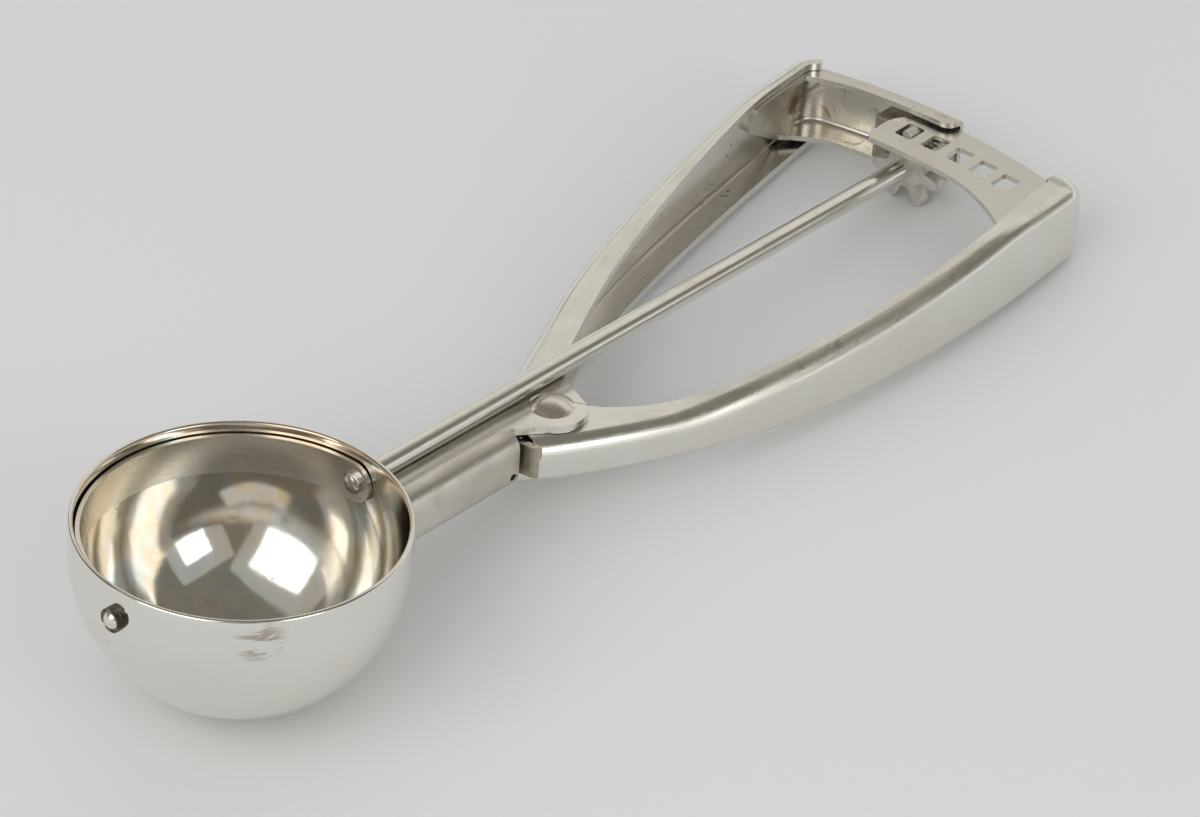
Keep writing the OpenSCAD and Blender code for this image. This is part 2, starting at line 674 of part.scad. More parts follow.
// Outline of the rack in plan, round the pivot
rack_free_angle = 6.3;
rack_root_angle = -16.2;
window_turn = 1;
rack_flare_angle = -6;
rack_flare = 4.4;
function rack_inner_r(a) = rack_inner
    - rack_flare * pow(max(0, (rack_flare_angle - a) / (rack_flare_angle - rack_root_angle)), 1.5);
rack_seat = lever_shoulder + 0.2;
outer_corner_r = 8.5;
inner_corner_r = 1.5;
outer_corner_angle = rack_free_angle - asin(outer_corner_r / (rack_outer - outer_corner_r));
inner_corner_angle = rack_free_angle - asin(inner_corner_r / (rack_inner + inner_corner_r));
outer_corner_c = pivot + polar(rack_outer - outer_corner_r, outer_corner_angle);
inner_corner_c = pivot + polar(rack_inner + inner_corner_r, inner_corner_angle);
module rack_outline()
    difference() {
        intersection() {
            polygon(concat(arc(pivot, rack_outer, rack_root_angle, outer_corner_angle, 48),
                           arc(outer_corner_c, outer_corner_r, outer_corner_angle, rack_free_angle + 90, 12),
                           arc(inner_corner_c, inner_corner_r, rack_free_angle + 90, inner_corner_angle + 180, 6),
                           [for (i = [1:32])
                            let (a = lerp(inner_corner_angle, rack_root_angle, i / 32))
                            pivot + polar(rack_inner_r(a), a)]));
            polygon(concat([for (s = lever_stations) if (s[0].x > pivot_x + 60) s[0] + rack_seat * s[1]],
                           [[2 * pivot_x + rack_r, lever_c.y], [2 * pivot_x + rack_r, rack_r],
                            [pivot_x + 60, rack_r]]));
        }
        for (i = [0:windows - 1])
            translate(pivot + polar(rack_r, first_window - i * window_step))
                rotate(window_turn)
                    translate([-window_l / 2, -window_w / 2])
                        rounded_rect(window_l, window_w, window_round);
    }

module rack_plate()
    placed()
        color([0.82, 0.8, 0.74])
            translate([0, 0, rack_low])
                linear_extrude(rack_t)
                    rack_outline();

module pivot_rivet()
    placed()
        color([0.76, 0.73, 0.66])
            translate([pivot.x, pivot.y, 0]) {
                translate([0, 0, neck_low])
                    cylinder(d = rivet_d, h = neck_h);
                translate([0, 0, neck_top])
                    dome(rivet_head_d / 2, rivet_head_h);
                translate([0, 0, neck_low])
                    mirror([0, 0, 1])
                        dome(rivet_head_d / 2, rivet_tail_h);
            }

sleeve_low = lever_bottom + sheet + seat_gap;
sleeve_h = lever_top - lever_bottom - 2 * sheet - 2 * seat_gap;
module spring_sleeve()
    placed()
        color([0.55, 0.55, 0.53])
            translate([pivot.x, pivot.y, sleeve_low])
                difference() {
                    cylinder(d = sleeve_d, h = sleeve_h);
                    translate([0, 0, -over])
                        cylinder(d = rivet_d + 2 * fit_gap, h = sleeve_h + 2 * over);
                }

// The return spring: a coil round the sleeve with one leg in the neck and one along the lever
coil_r = sleeve_d / 2 + slide_gap + wire_d / 2;
coil_from = 70;
coil_to = 55 - lever_root_angle;
coil_turns = 2 + (coil_from - coil_to) / 360;
coil_steps = 40;
coil_pitch = wire_d + 0.1;
coil_low = (lever_top + lever_bottom - coil_turns * coil_pitch) / 2;
wire_sides = 8;
function coil_point(t) =
    let (a = coil_from - t * coil_turns * 360)
    [pivot.x + coil_r * cos(a), pivot.y + coil_r * sin(a), coil_low + t * coil_turns * coil_pitch];
function coil_dir(t) =
    let (a = coil_from - t * coil_turns * 360)
    unit([sin(a), -cos(a), 0]);
function wire_ring(p, d) =
    let (side = unit([-d.y, d.x, 0]))
    [for (k = [0:wire_sides - 1])
     let (q = polar(wire_d / 2, 360 * k / wire_sides)) p + side * q.x + [0, 0, q.y]];
leg_in = 3.2 * sleeve_d;
leg_out = 2.6 * sleeve_d;
module return_spring()
    placed()
        color([0.5, 0.5, 0.48])
            loft(concat([wire_ring(coil_point(0) - leg_in * coil_dir(0), coil_dir(0))],
                        [for (i = [0:coil_steps]) wire_ring(coil_point(i / coil_steps), coil_dir(i / coil_steps))],
                        [wire_ring(coil_point(1) + leg_out * coil_dir(1), coil_dir(1))]));

bowl();
scraper_blade();
rod();
front_pin();
front_collar();
fixed_handle();
arm_bracket();
rod_bearing();
pinion();
rack_plate();
movable_handle();
pivot_rivet();
spring_sleeve();
return_spring();
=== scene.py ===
import json
import math

import bmesh
import bpy
import numpy as np
from mathutils import Matrix, Vector


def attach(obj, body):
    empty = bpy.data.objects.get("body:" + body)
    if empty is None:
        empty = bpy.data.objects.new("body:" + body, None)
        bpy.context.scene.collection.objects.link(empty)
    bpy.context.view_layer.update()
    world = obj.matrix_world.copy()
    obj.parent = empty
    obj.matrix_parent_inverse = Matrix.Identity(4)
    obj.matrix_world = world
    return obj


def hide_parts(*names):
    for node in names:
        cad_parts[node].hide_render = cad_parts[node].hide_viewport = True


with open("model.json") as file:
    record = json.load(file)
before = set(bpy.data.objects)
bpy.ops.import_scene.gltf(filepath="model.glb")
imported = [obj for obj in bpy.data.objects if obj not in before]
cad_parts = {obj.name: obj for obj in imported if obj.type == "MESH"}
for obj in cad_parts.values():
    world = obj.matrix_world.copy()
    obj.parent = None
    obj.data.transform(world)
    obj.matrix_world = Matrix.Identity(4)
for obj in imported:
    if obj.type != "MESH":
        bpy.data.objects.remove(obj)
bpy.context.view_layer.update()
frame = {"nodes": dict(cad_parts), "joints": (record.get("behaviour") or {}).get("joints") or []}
print("frame loaded:", len(frame["nodes"]), "nodes")

# the tool's own axes, in mm from the ball's centre: x along the rod to the handles, z out of the bowl's mouth
joints = {j["name"]: j for j in frame["joints"]}
ballCentre = np.array(joints["rod_turn"]["pos_m"], float)
alongRod = np.array(joints["rod_turn"]["axis"], float)
outOfMouth = np.array(joints["handle_squeeze"]["axis"], float)
toolAxes = np.array([alongRod, np.cross(outOfMouth, alongRod), outOfMouth])
tilt = math.atan2(outOfMouth[0], outOfMouth[2])
pivot = np.array([71.0, -5.5])
meshCare = {"sharp": math.radians(38), "merge": 2e-6, "flat": math.radians(0.6)}


def toScene(points):
    # mm along the tool's axes become metres in the scene: centre + p . axes / 1000
    return ballCentre + np.asarray(points, float) @ toolAxes / 1000


def pairs(a, b):
    # (a, b) side by side; either may be one number
    return np.stack(np.broadcast_arrays(a, b), -1)


def polar(r, angle):
    # r (cos a, sin a), with a in degrees
    a = np.radians(angle)
    return pairs(r * np.cos(a), r * np.sin(a))


def unit(v):
    v = np.asarray(v, float)
    return v / np.linalg.norm(v, axis=-1, keepdims=True)


def mix(a, b, t):
    return a + (b - a) * t


def smooth(t):
    return t * t * (3 - 2 * t)


def rightOf(v):
    return pairs(v[..., 1], -v[..., 0])


def ramp(u, run, blend):
    # 0 before u = 0 and 1 after u = run: a straight line whose two ends are parabolas of length blend
    slope = 1 / (run - blend)
    rise = u * u * slope / (2 * blend)
    ease = 1 - (run - u) ** 2 * slope / (2 * blend)
    return np.select([u <= 0, u < blend, u < run - blend, u < run], [0 * u, rise, (u - blend / 2) * slope, ease], 1)


def lengths(path):
    # the length of a path up to each of its points
    return np.concatenate([[0], np.cumsum(np.linalg.norm(np.diff(path, axis=0), axis=1))])


def bezier(p, t):
    # (1-t)^3 p0 + 3 (1-t)^2 t p1 + 3 (1-t) t^2 p2 + t^3 p3
    t = np.asarray(t, float)[:, None]
    return (1 - t) ** 3 * p[0] + 3 * (1 - t) ** 2 * t * p[1] + 3 * (1 - t) * t ** 2 * p[2] + t ** 3 * p[3]


def bezierWay(p, t):
    # the unit of the curve's derivative
    t = np.asarray(t, float)[:, None]
    return unit((1 - t) ** 2 * (p[1] - p[0]) + 2 * (1 - t) * t * (p[2] - p[1]) + t ** 2 * (p[3] - p[2]))


def densePath(corners, steps):
    # every leg between two corners cut into the same number of steps, so that index / steps counts corners
    corners = np.asarray(corners, float)
    at = np.linspace(0, len(corners) - 1, (len(corners) - 1) * steps + 1)
    low = np.minimum(at.astype(int), len(corners) - 2)
    return mix(corners[low], corners[low + 1], (at - low)[:, None])


def rounded(path, rounds):
    # a path with its corners softened by averaging neighbours, its ends kept
    path = np.array(path, float)
    for _ in range(rounds):
        path[1:-1] = (path[:-2] + 2 * path[1:-1] + path[2:]) / 4
    return path


def gridFaces(rings, points):
    # quads between neighbouring points of neighbouring rings, as one index array; each ring is closed
    i, j = np.meshgrid(np.arange(rings - 1), np.arange(points), indexing="ij")
    j2 = (j + 1) % points
    corners = [i * points + j, i * points + j2, (i + 1) * points + j2, (i + 1) * points + j]
    return np.stack(corners, -1).reshape(-1, 4)


def stripCaps(rings, points):
    # closes both ends of a tube whose ring goes out along one face of a sheet and back along the other
    j = np.arange(points // 2 - 1)
    near = np.stack([points - 1 - j, points - 2 - j, j + 1, j], -1)
    last = (rings - 1) * points
    return np.concatenate([near, (last + near)[:, ::-1]])


def sheetMap(mesh, grid):
    # a map in mm: u is the mean length along the rings and v the mean length round them. In a face that closes
    # its ring, the first point counts as the one past the last.
    count = grid.shape[1]
    along = np.concatenate([[0], np.cumsum(np.linalg.norm(np.diff(grid, axis=0), axis=2).mean(1))])
    across = np.concatenate([[0], np.cumsum(np.linalg.norm(np.roll(grid, -1, 1) - grid, axis=2).mean(0))])
    index = np.empty(len(mesh.loops), np.int32)
    start, total = (np.empty(len(mesh.polygons), np.int32) for _ in range(2))
    layer = mesh.uv_layers.new(name="sheetMap")
    mesh.loops.foreach_get("vertex_index", index)
    mesh.polygons.foreach_get("loop_start", start)
    mesh.polygons.foreach_get("loop_total", total)
    ring, point = index // count, index % count
    closing = (np.minimum.reduceat(point, start) == 0) & (np.maximum.reduceat(point, start) == count - 1)
    seam = np.repeat(closing, total) & (point == 0)
    uv = pairs(along[ring], np.where(seam, across[count], across[point]))
    layer.data.foreach_set("uv", uv.astype(np.float32).ravel())


def shaded(mesh):
    mesh.shade_smooth()
    mesh.set_sharp_from_angle(angle=meshCare["sharp"])
    return mesh


def mended(mesh, wholeFaces=False):
    # doubles merged, flat faces made whole where asked, and all faces turned outwards
    work = bmesh.new()
    work.from_mesh(mesh)
    bmesh.ops.remove_doubles(work, verts=work.verts, dist=meshCare["merge"])
    if wholeFaces:
        bmesh.ops.dissolve_limit(work, angle_limit=meshCare["flat"], verts=work.verts, edges=work.edges)
    bmesh.ops.recalc_face_normals(work, faces=work.faces)
    work.to_mesh(mesh)
    work.free()
    return shaded(mesh)


def makeMesh(name, verts, faces, grid=None):
    mesh = bpy.data.meshes.new(name)
    mesh.from_pydata(toScene(verts).tolist(), [], [tuple(f) for f in faces])
    if grid is not None:
        sheetMap(mesh, grid)
    return mended(mesh)


def sheetMesh(name, rings):
    # rings round a sheet, with strips of quads over its two ends, and a map in mm
    faces = np.concatenate([gridFaces(*rings.shape[:2]), stripCaps(*rings.shape[:2])])
    return makeMesh(name, rings.reshape(-1, 3), faces, rings)


def tubeMesh(name, rings):
    # rings joined into a tube, with one flat face over each end
    count, around = rings.shape[:2]
    last = (count - 1) * around
    ends = [list(range(around)), list(range(last, last + around))]
    return makeMesh(name, rings.reshape(-1, 3), gridFaces(count, around).tolist() + ends)


def turnedMesh(name, profile, steps, axis="x", centre=(0, 0, 0)):
    # a profile of (height, radius) turned about an axis: (h, r cos f, r sin f). A radius of 0 is a pole.
    profile = np.asarray(profile, float)
    f = np.linspace(0, 2 * np.pi, steps, endpoint=False)
    h = np.repeat(profile[:, :1], steps, 1)
    a, b = profile[:, 1:] * np.cos(f), profile[:, 1:] * np.sin(f)
    verts = np.stack({"x": (h, a, b), "z": (a, b, h)}[axis], -1).reshape(-1, 3)
    return makeMesh(name, verts + centre, gridFaces(len(profile), steps))


def capLine(r, h, n, share=1.0):
    # (height over its base, radius) of a spherical cap of base r and height h, R = (r^2 + h^2) / 2h, from its
    # middle outwards
    ball = (r * r + h * h) / (2 * h)
    a = np.linspace(0, math.asin(r / ball) * share, n)
    return pairs(h - ball * (1 - np.cos(a)), ball * np.sin(a))


def newObject(name, data):
    made = bpy.data.objects.new(name, data)
    bpy.context.scene.collection.objects.link(made)
    return made


def cutAway(mesh, cutter):
    # takes a closed cutter mesh away from a mesh, and keeps the result
    body, tool = newObject("cutBody", mesh), newObject("cutTool", cutter)
    cut = body.modifiers.new("cut", "BOOLEAN")
    cut.object, cut.operation, cut.solver = tool, "DIFFERENCE", "EXACT"
    bpy.context.view_layer.update()
    done = bpy.data.meshes.new_from_object(body.evaluated_get(bpy.context.evaluated_depsgraph_get()))
    for o in (body, tool):
        bpy.data.objects.remove(o)
    return shaded(done)


def addPiece(name, mesh, body, replaced, material, bevel=0.0):
    # one finished piece at the origin, with its material and eased edges, riding on its body
    piece = newObject(name, mesh)
    mesh.materials.clear()
    mesh.materials.append(material)
    if bevel:
        edge = piece.modifiers.new("edge", "BEVEL")
        edge.width, edge.segments = bevel / 1000, 2
        edge.limit_method, edge.angle_limit = "ANGLE", meshCare["sharp"]
        edge.harden_normals = edge.use_clamp_overlap = True
    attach(piece, body)
    if replaced:
        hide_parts(*replaced)


class Wire:
    # an output socket that can stand in a sum, because every operator adds one Math node
    def __init__(self, nodes, socket):
        self.nodes, self.socket = nodes, socket

    def math(self, operation, a, b):
        return self.nodes.make("ShaderNodeMath", {"operation": operation}, {0: a, 1: b})

    def __add__(self, o): return self.math("ADD", self, o)
    def __radd__(self, o): return self.math("ADD", o, self)
    def __sub__(self, o): return self.math("SUBTRACT", self, o)
    def __rsub__(self, o): return self.math("SUBTRACT", o, self)
    def __mul__(self, o): return self.math("MULTIPLY", self, o)
    def __rmul__(self, o): return self.math("MULTIPLY", o, self)
    def atLeast(self, o): return self.math("MAXIMUM", self, o)
    def clamp(self): return self.math("MINIMUM", self.atLeast(0.0), 1.0)


def opaque(colour):
    return colour if isinstance(colour, Wire) else (*colour, 1)


class Nodes:
    # a node tree and its one way to add a node
    def __init__(self, tree):
        self.tree = tree

    def feed(self, socket, value):
        if isinstance(value, Wire):
            self.tree.links.new(value.socket, socket)
        else:
            socket.default_value = value

    def make(self, kind, settings, inputs, out=0):
        # the node's settings come first, then the values or links of its sockets
        node = self.tree.nodes.new(kind)
        for key, value in settings.items():
            setattr(node, key, value)
        for key, value in inputs.items():
            self.feed(node.inputs[key], value)
        return Wire(self, node.outputs[out]) if node.outputs else node

    def between(self, value, low, high, to0=0.0, to1=1.0):
        # to0 up to low and to1 from high on, with a soft step from one to the other
        return self.make("ShaderNodeMapRange", {"interpolation_type": "SMOOTHSTEP"},
                         {"Value": value, "From Min": low, "From Max": high, "To Min": to0, "To Max": to1})

    def blend(self, factor, a, b):
        # colour a where factor is 0 and b where it is 1
        return self.make("ShaderNodeMix", {"data_type": "RGBA"}, {0: factor, 6: opaque(a), 7: opaque(b)}, 2)


class Finish(Nodes):
    # a material under construction, with the two places it may read: object coordinates and the sheet's map
    def __init__(self, name):
        self.material = bpy.data.materials.new(name)
        self.material.use_nodes = True
        super().__init__(self.material.node_tree)
        self.shader = self.tree.nodes["Principled BSDF"]
        self.place = self.make("ShaderNodeTexCoord", {}, {}, "Object")
        self.sheet = self.make("ShaderNodeUVMap", {}, {}, "UV")

    def scaled(self, source, scale, turn=(0, 0, 0)):
        return self.make("ShaderNodeMapping", {}, {"Vector": source, "Scale": scale, "Rotation": turn}, "Vector")

    def noise(self, source, scale, detail=3.0, rough=0.55, warp=0.0):
        return self.make("ShaderNodeTexNoise", {}, {"Vector": source, "Scale": scale, "Detail": detail,
                                                    "Roughness": rough, "Distortion": warp}, "Fac")

    def cells(self, scale):
        # the distance to the nearest of many scattered points
        return self.make("ShaderNodeTexVoronoi", {"feature": "F1"}, {"Vector": self.place, "Scale": scale},
                         "Distance")

    def bands(self, way, scale, warp):
        # ridges square to one axis: (1 + sin(20 scale p + noise)) / 2
        return self.make("ShaderNodeTexWave", {"wave_type": "BANDS", "bands_direction": way},
                         {"Vector": self.place, "Scale": scale, "Distortion": warp, "Detail": 2.0}, "Fac")

    def vector(self, operation, a, b, out="Value"):
        return self.make("ShaderNodeVectorMath", {"operation": operation}, {0: a, 1: b}, out)

    def bump(self, height, strength, distance):
        return self.make("ShaderNodeBump", {}, {"Height": height, "Strength": strength, "Distance": distance},
                         "Normal")

    def done(self, colour, rough, normal=None, metal=1.0):
        values = {"Base Color": opaque(colour), "Roughness": rough, "Normal": normal, "Metallic": metal}
        for socket, value in values.items():
            if value is not None:
                self.feed(self.shader.inputs[socket], value)
        return self.material


nickel = {
    "light": (0.80, 0.785, 0.735), "warm": (0.71, 0.67, 0.585), "dark": (0.30, 0.27, 0.22),
    "pit": (0.05, 0.04, 0.03), "pitScale": 620.0, "stain": (0.33, 0.21, 0.10), "stainScale": 130.0,
    "rust": (0.30, 0.17, 0.08), "rustR": (0.0026, 0.0048), "raspScale": 3.2, "relief": 0.00006,
    # from where to where each noise turns into its mark
    "hairs": (0.56, 0.66), "crossed": (0.60, 0.68), "wiped": (0.38, 0.68), "pitted": (0.53, 0.66),
    "stained": (0.56, 0.70), "bandGap": (0.26, 0.50), "rasped": (0.50, 0.62),
}


def nickelFinish(name, light=nickel["light"], warm=nickel["warm"], rough=0.16, cloud=45.0, wear=0.5, scratch=0.35,
                 pits=0.0, stain=0.0, onMap=True, worn=None, rust=None):
    # plated steel: a warm silver with cloudy wipe marks, hair scratches along the sheet, and where asked small
    # dark pits, brown stains, a band worn rough (worn = u0, u1, v0, v1 on the sheet's map, in mm) and one rust
    # mark (rust = its centre in mm). rough = base + clouds + hairs + marks; height = hairs + peel + rasp - pits
    f = Finish(name)
    clouds = f.noise(f.place, cloud, 4.0, 0.6, 0.4)
    fine = f.noise(f.place, cloud * 9, 3.0, 0.6)
    if onMap:
        hair = f.noise(f.scaled(f.sheet, (0.05, 3.2, 1.0)), 2.0, 4.0, 0.7)
        cross = f.noise(f.scaled(f.sheet, (0.35, 1.4, 1.0), (0, 0, 0.5)), 1.6, 3.0, 0.7)
    else:
        hair = f.noise(f.scaled(f.place, (60.0, 2200.0, 2200.0), (0, -tilt, 0)), 1.0, 4.0, 0.7)
        cross = f.noise(f.scaled(f.place, (900.0, 260.0, 500.0), (0.4, 0.2, 0.9)), 1.0, 3.0, 0.7)
    hairLines = f.between(hair, *nickel["hairs"])
    crossLines = f.between(cross, *nickel["crossed"])
    wipe = f.between(clouds, *nickel["wiped"])
    colour = f.blend(wipe * (0.55 * wear), light, warm)
    colour = f.blend(crossLines * (0.10 * wear), colour, nickel["dark"])
    roughness = rough + wipe * (0.13 * wear) + hairLines * 0.05 + fine * 0.05
    height = hairLines * (0.35 * scratch) + crossLines * (0.25 * scratch) + fine * 0.12
    if pits:
        patches = f.between(f.noise(f.place, 90.0, 2.0), *nickel["pitted"])
        where = patches * f.between(f.noise(f.place, 1100.0, 1.0), 0.44, 0.52)
        holes = f.between(f.cells(nickel["pitScale"]), 0.10, 0.24, 1.0, 0.0) * where * pits
        colour = f.blend(holes.clamp(), colour, nickel["pit"])
        roughness = roughness + holes * 0.4
        height = height - holes * 1.4
    if stain:
        patch = f.between(f.noise(f.place, nickel["stainScale"], 5.0, 0.65, 0.8), *nickel["stained"]) * stain
        colour = f.blend(patch.clamp(), colour, nickel["stain"])
        roughness = roughness + patch * 0.25
    if rust:
        ragged = f.vector("DISTANCE", f.place, tuple(toScene(rust))) + f.noise(f.place, 700.0, 4.0, 0.7) * 0.004
        mark = f.between(ragged, *nickel["rustR"], 0.85, 0.0)
        colour = f.blend(mark, colour, nickel["rust"])
        roughness = roughness + mark * 0.3
    if worn:
        u, v = (f.make("ShaderNodeSeparateXYZ", {}, {"Vector": f.sheet}, axis) for axis in "XY")
        band = (f.between(u, worn[0] - 4, worn[0] + 6) * f.between(u, worn[1] - 25, worn[1], 1.0, 0.0)
                * f.between(v, worn[2] - 0.8, worn[2] + 0.6) * f.between(v, worn[3] - 0.6, worn[3] + 0.8, 1.0, 0.0))
        rasp = f.noise(f.scaled(f.sheet, (1.0, 2.2, 1.0), (0, 0, 0.35)), nickel["raspScale"], 5.0, 0.75, 0.4)
        band = band * f.between(f.noise(f.sheet, 0.35, 3.0, 0.6), *nickel["bandGap"])
        roughness = roughness + band * 0.06
        colour = f.blend(band * f.between(rasp, *nickel["rasped"]) * 0.5, colour, nickel["dark"])
        height = height + rasp * band * 1.6
    return f.done(colour, roughness.clamp(), f.bump(height, 0.5, nickel["relief"]))


def darkFinish(name, shade, bright, rough=0.3):
    # bare steel gone dark, worn brighter in patches
    f = Finish(name)
    patches = f.between(f.noise(f.place, 420.0, 4.0, 0.65), 0.42, 0.66)
    grain = f.noise(f.place, 1800.0, 3.0, 0.6)
    return f.done(f.blend(patches, shade, bright), (rough + grain * 0.2).clamp(), f.bump(grain, 0.5, 0.00006))


print("finishes ready")

bowlShape = {"ballR": 28.7, "wall": 1.0, "rim": 5.8, "around": 192, "down": 49, "lip": 9, "straight": 7}
bowlLook = {
    "silver": (0.82, 0.80, 0.755), "warm": (0.76, 0.715, 0.63), "blueGrey": (0.68, 0.725, 0.735),
    # the blue-grey, olive and streak colours and their thresholds below are painted reflections inside the bore
    "olive": (0.76, 0.68, 0.52), "streak": (0.79, 0.63, 0.47), "scuff": (0.40, 0.34, 0.27),
    "scuffAt": (-18.0, -22.25, 1.7), "scuffR": (0.0015, 0.0055), "boreR": (0.02805, 0.02835),
    "wallFrom": (-0.016, 0.003), "rough": 0.07, "relief": 0.0004,
    "wiped": (0.40, 0.70), "scuffed": (0.50, 0.58), "greyReflected": (0.46, 0.60), "oliveReflected": (0.50, 0.36),
    "streakReflected": (0.44, 0.58),
}


def bowlFinish(name, s):
    # nearly a mirror, with a broad soft haze and specks. scuff = noise stretched along the rim x a patch round
    # one point of the outside. Inside, where |p - m max(0, p . m)| < the bore's radius with p from the ball's
    # centre and m out of the mouth, painted reflections: blue-grey and olive clouds, and warm streaks up the
    # wall, standing in for what the mirror shows there.
    f = Finish(name)
    clouds = f.noise(f.place, 38.0, 4.0, 0.6, 0.5)
    fine = f.noise(f.place, 900.0, 2.0, 0.5)
    wipe = f.between(clouds, *s["wiped"])
    near = f.between(f.vector("DISTANCE", f.place, tuple(toScene(s["scuffAt"]))), *s["scuffR"], 1.0, 0.0)
    alongRim = f.noise(f.scaled(f.place, (200.0, 200.0, 560.0)), 1.0, 4.0, 0.6, 0.6)
    scuff = f.between(alongRim, *s["scuffed"]) * near
    specks = f.between(f.cells(260.0), 0.05, 0.09, 1.0, 0.0) * f.between(clouds, 0.52, 0.6)
    fromBall = f.vector("SUBTRACT", f.place, tuple(ballCentre), "Vector")
    high = f.vector("DOT_PRODUCT", fromBall, tuple(outOfMouth))
    lift = f.make("ShaderNodeVectorMath", {"operation": "SCALE"},
                  {0: tuple(outOfMouth), "Scale": high.atLeast(0.0)}, "Vector")
    inside = f.between(f.vector("DISTANCE", fromBall, lift), *s["boreR"], 1.0, 0.0)
    # painted reflections of the surroundings inside the bore: blue-grey and olive clouds, warm streaks up the wall
    reflectionClouds = f.noise(f.place, 55.0, 3.0, 0.55, 1.2)
    streaks = f.noise(f.scaled(f.place, (170.0, 170.0, 26.0), (0, -tilt, 0)), 1.0, 3.0, 0.55, 0.3)
    wall = f.between(high, *s["wallFrom"])
    colour = f.blend(wipe * 0.35, s["silver"], s["warm"])
    # the painted reflections, blended in inside the bore only
    colour = f.blend(f.between(reflectionClouds, *s["greyReflected"]) * inside * 0.8, colour, s["blueGrey"])
    colour = f.blend(f.between(reflectionClouds, *s["oliveReflected"]) * inside * 0.7, colour, s["olive"])
    colour = f.blend(f.between(streaks, *s["streakReflected"]) * wall * inside * 0.8, colour, s["streak"])
    colour = f.blend((scuff * 0.8 + specks * 0.5).clamp(), colour, s["scuff"])
    roughness = (s["rough"] + wipe * 0.05 + fine * 0.02 + scuff * 0.3 + specks * 0.2).clamp()
    return f.done(colour, roughness, f.bump(clouds * 0.7 + fine * 0.03, 0.30, s["relief"]))


def bowlProfile(s):
    # outside, a quarter of the ball and straight up to the rim, a half round over the rim, and the same back down
    # inside: (height, radius) = (-R cos a, R sin a), then radius R up to the rim
    bore, half = s["ballR"] - s["wall"], s["wall"] / 2
    a = np.radians(np.linspace(0, 90, s["down"]))
    lip = np.radians(np.linspace(0, 180, s["lip"]))
    top = s["rim"] - half
    up = np.linspace(0, top, s["straight"])[1:-1]
    outside, inside = (pairs(-r * np.cos(a), r * np.sin(a)) for r in (s["ballR"], bore))
    overRim = pairs(top + half * np.sin(lip), s["ballR"] - half * (1 - np.cos(lip)))
    return np.concatenate([outside, pairs(up, s["ballR"]), overRim, pairs(up[::-1], bore), inside[::-1]])


bowlMesh = turnedMesh("bowlShell", bowlProfile(bowlShape), bowlShape["around"], "z")
addPiece("bowlShell", bowlMesh, "frame", ["bowl"], bowlFinish("polishedBowl", bowlLook))
print("bowl done")

stripShape = {"outR": 27.6, "thick": 0.75, "wide": 7.5, "steps": 150, "endSteps": 14, "across": 16, "bevel": 0.2}


def stripRings(s):
    # a band of a sphere, (q cos f, q sin f, z) with q = sqrt(R^2 - z^2): f runs round from the rod to the pin, and
    # z across. Past both ends it closes as a disc round the rod's axis: z^2 = (w^2 - R^2 sin^2 f) / cos^2 f
    half = s["wide"] / 2
    ends = math.asin(half / s["outR"]) * np.cos(np.linspace(0, np.pi / 2, s["endSteps"]))
    f = np.concatenate([-ends, np.linspace(0, np.pi, s["steps"])[1:-1], np.pi + ends[::-1]])
    past = np.maximum(half ** 2 - (s["outR"] * np.sin(f)) ** 2, 0) / np.cos(f) ** 2
    reach = np.where(np.sin(f) >= 0, half, np.sqrt(past))
    v = np.linspace(-1, 1, s["across"])
    rings = []
    for r, way in ((s["outR"], 1), (s["outR"] - s["thick"], -1)):
        z = reach[:, None] * v[None, ::way]
        q = np.sqrt(r ** 2 - z ** 2)
        rings.append(np.stack([q * np.cos(f)[:, None], q * np.sin(f)[:, None], z], -1))
    return np.concatenate(rings, 1)


scraperSteel = nickelFinish("scraperSteel", light=(0.80, 0.77, 0.70), warm=(0.66, 0.61, 0.52), rough=0.2, cloud=70,
                            scratch=0.3)
addPiece("scraperStrip", sheetMesh("scraperStrip", stripRings(stripShape)), "scraper", ["scraper_blade"],
         scraperSteel, stripShape["bevel"])

rodShape = {"r": 1.97, "from": 25.85, "peen": 0.9, "to": 185.406, "edge": 0.25, "dome": 9, "steps": 60, "around": 64}


def rodProfile(s):
    # (x, radius): a flat dome at the bowl's end, a straight shank, and a small chamfer at the far end
    a = np.radians(np.linspace(0, 90, s["dome"]))
    nose = pairs(s["from"] + s["peen"] / 2 * (1 - np.cos(a)), s["r"] * np.sin(a))
    x = np.linspace(s["from"] + s["peen"], s["to"] - s["edge"], s["steps"])
    tail = [[s["to"] - s["edge"] * 0.3, s["r"] - s["edge"] * 0.3], [s["to"], s["r"] - s["edge"]], [s["to"], 0]]
    return np.concatenate([nose, pairs(x, s["r"]), tail])


addPiece("rodShank", turnedMesh("rodShank", rodProfile(rodShape), rodShape["around"]), "scraper", ["rod"],
         nickelFinish("rodSteel", rough=0.14, cloud=60, scratch=0.4, onMap=False))

pinShape = {"r": 1.1, "headR": 1.5, "headH": 0.8, "outer": -29.8, "inner": -26.75, "dome": 9, "around": 48}


def pinProfile(s):
    # (x, radius): two low domes joined by a straight shank
    cap = capLine(s["headR"], s["headH"], s["dome"])
    left = cap * [-1, 1] + [s["outer"], 0]
    right = (cap + [s["inner"], 0])[::-1]
    return np.concatenate([left, [[s["outer"], s["r"]], [s["inner"], s["r"]]], right])


addPiece("frontPin", turnedMesh("frontPin", pinProfile(pinShape), pinShape["around"]), "frame", ["front_pin"],
         nickelFinish("pinSteel", light=(0.82, 0.76, 0.66), rough=0.2, cloud=200, onMap=False))
print("strip, rod and pin done")

# a bent sheet's points per section: its top flange, shoulder, web and lower corner, and its tightest inner bend
handleSteps = {"flat": 5, "shoulder": 10, "web": 9, "corner": 6, "least": 0.4}
bracketSteps = {"flat": 4, "shoulder": 8, "web": 10, "corner": 8, "least": 0.05}


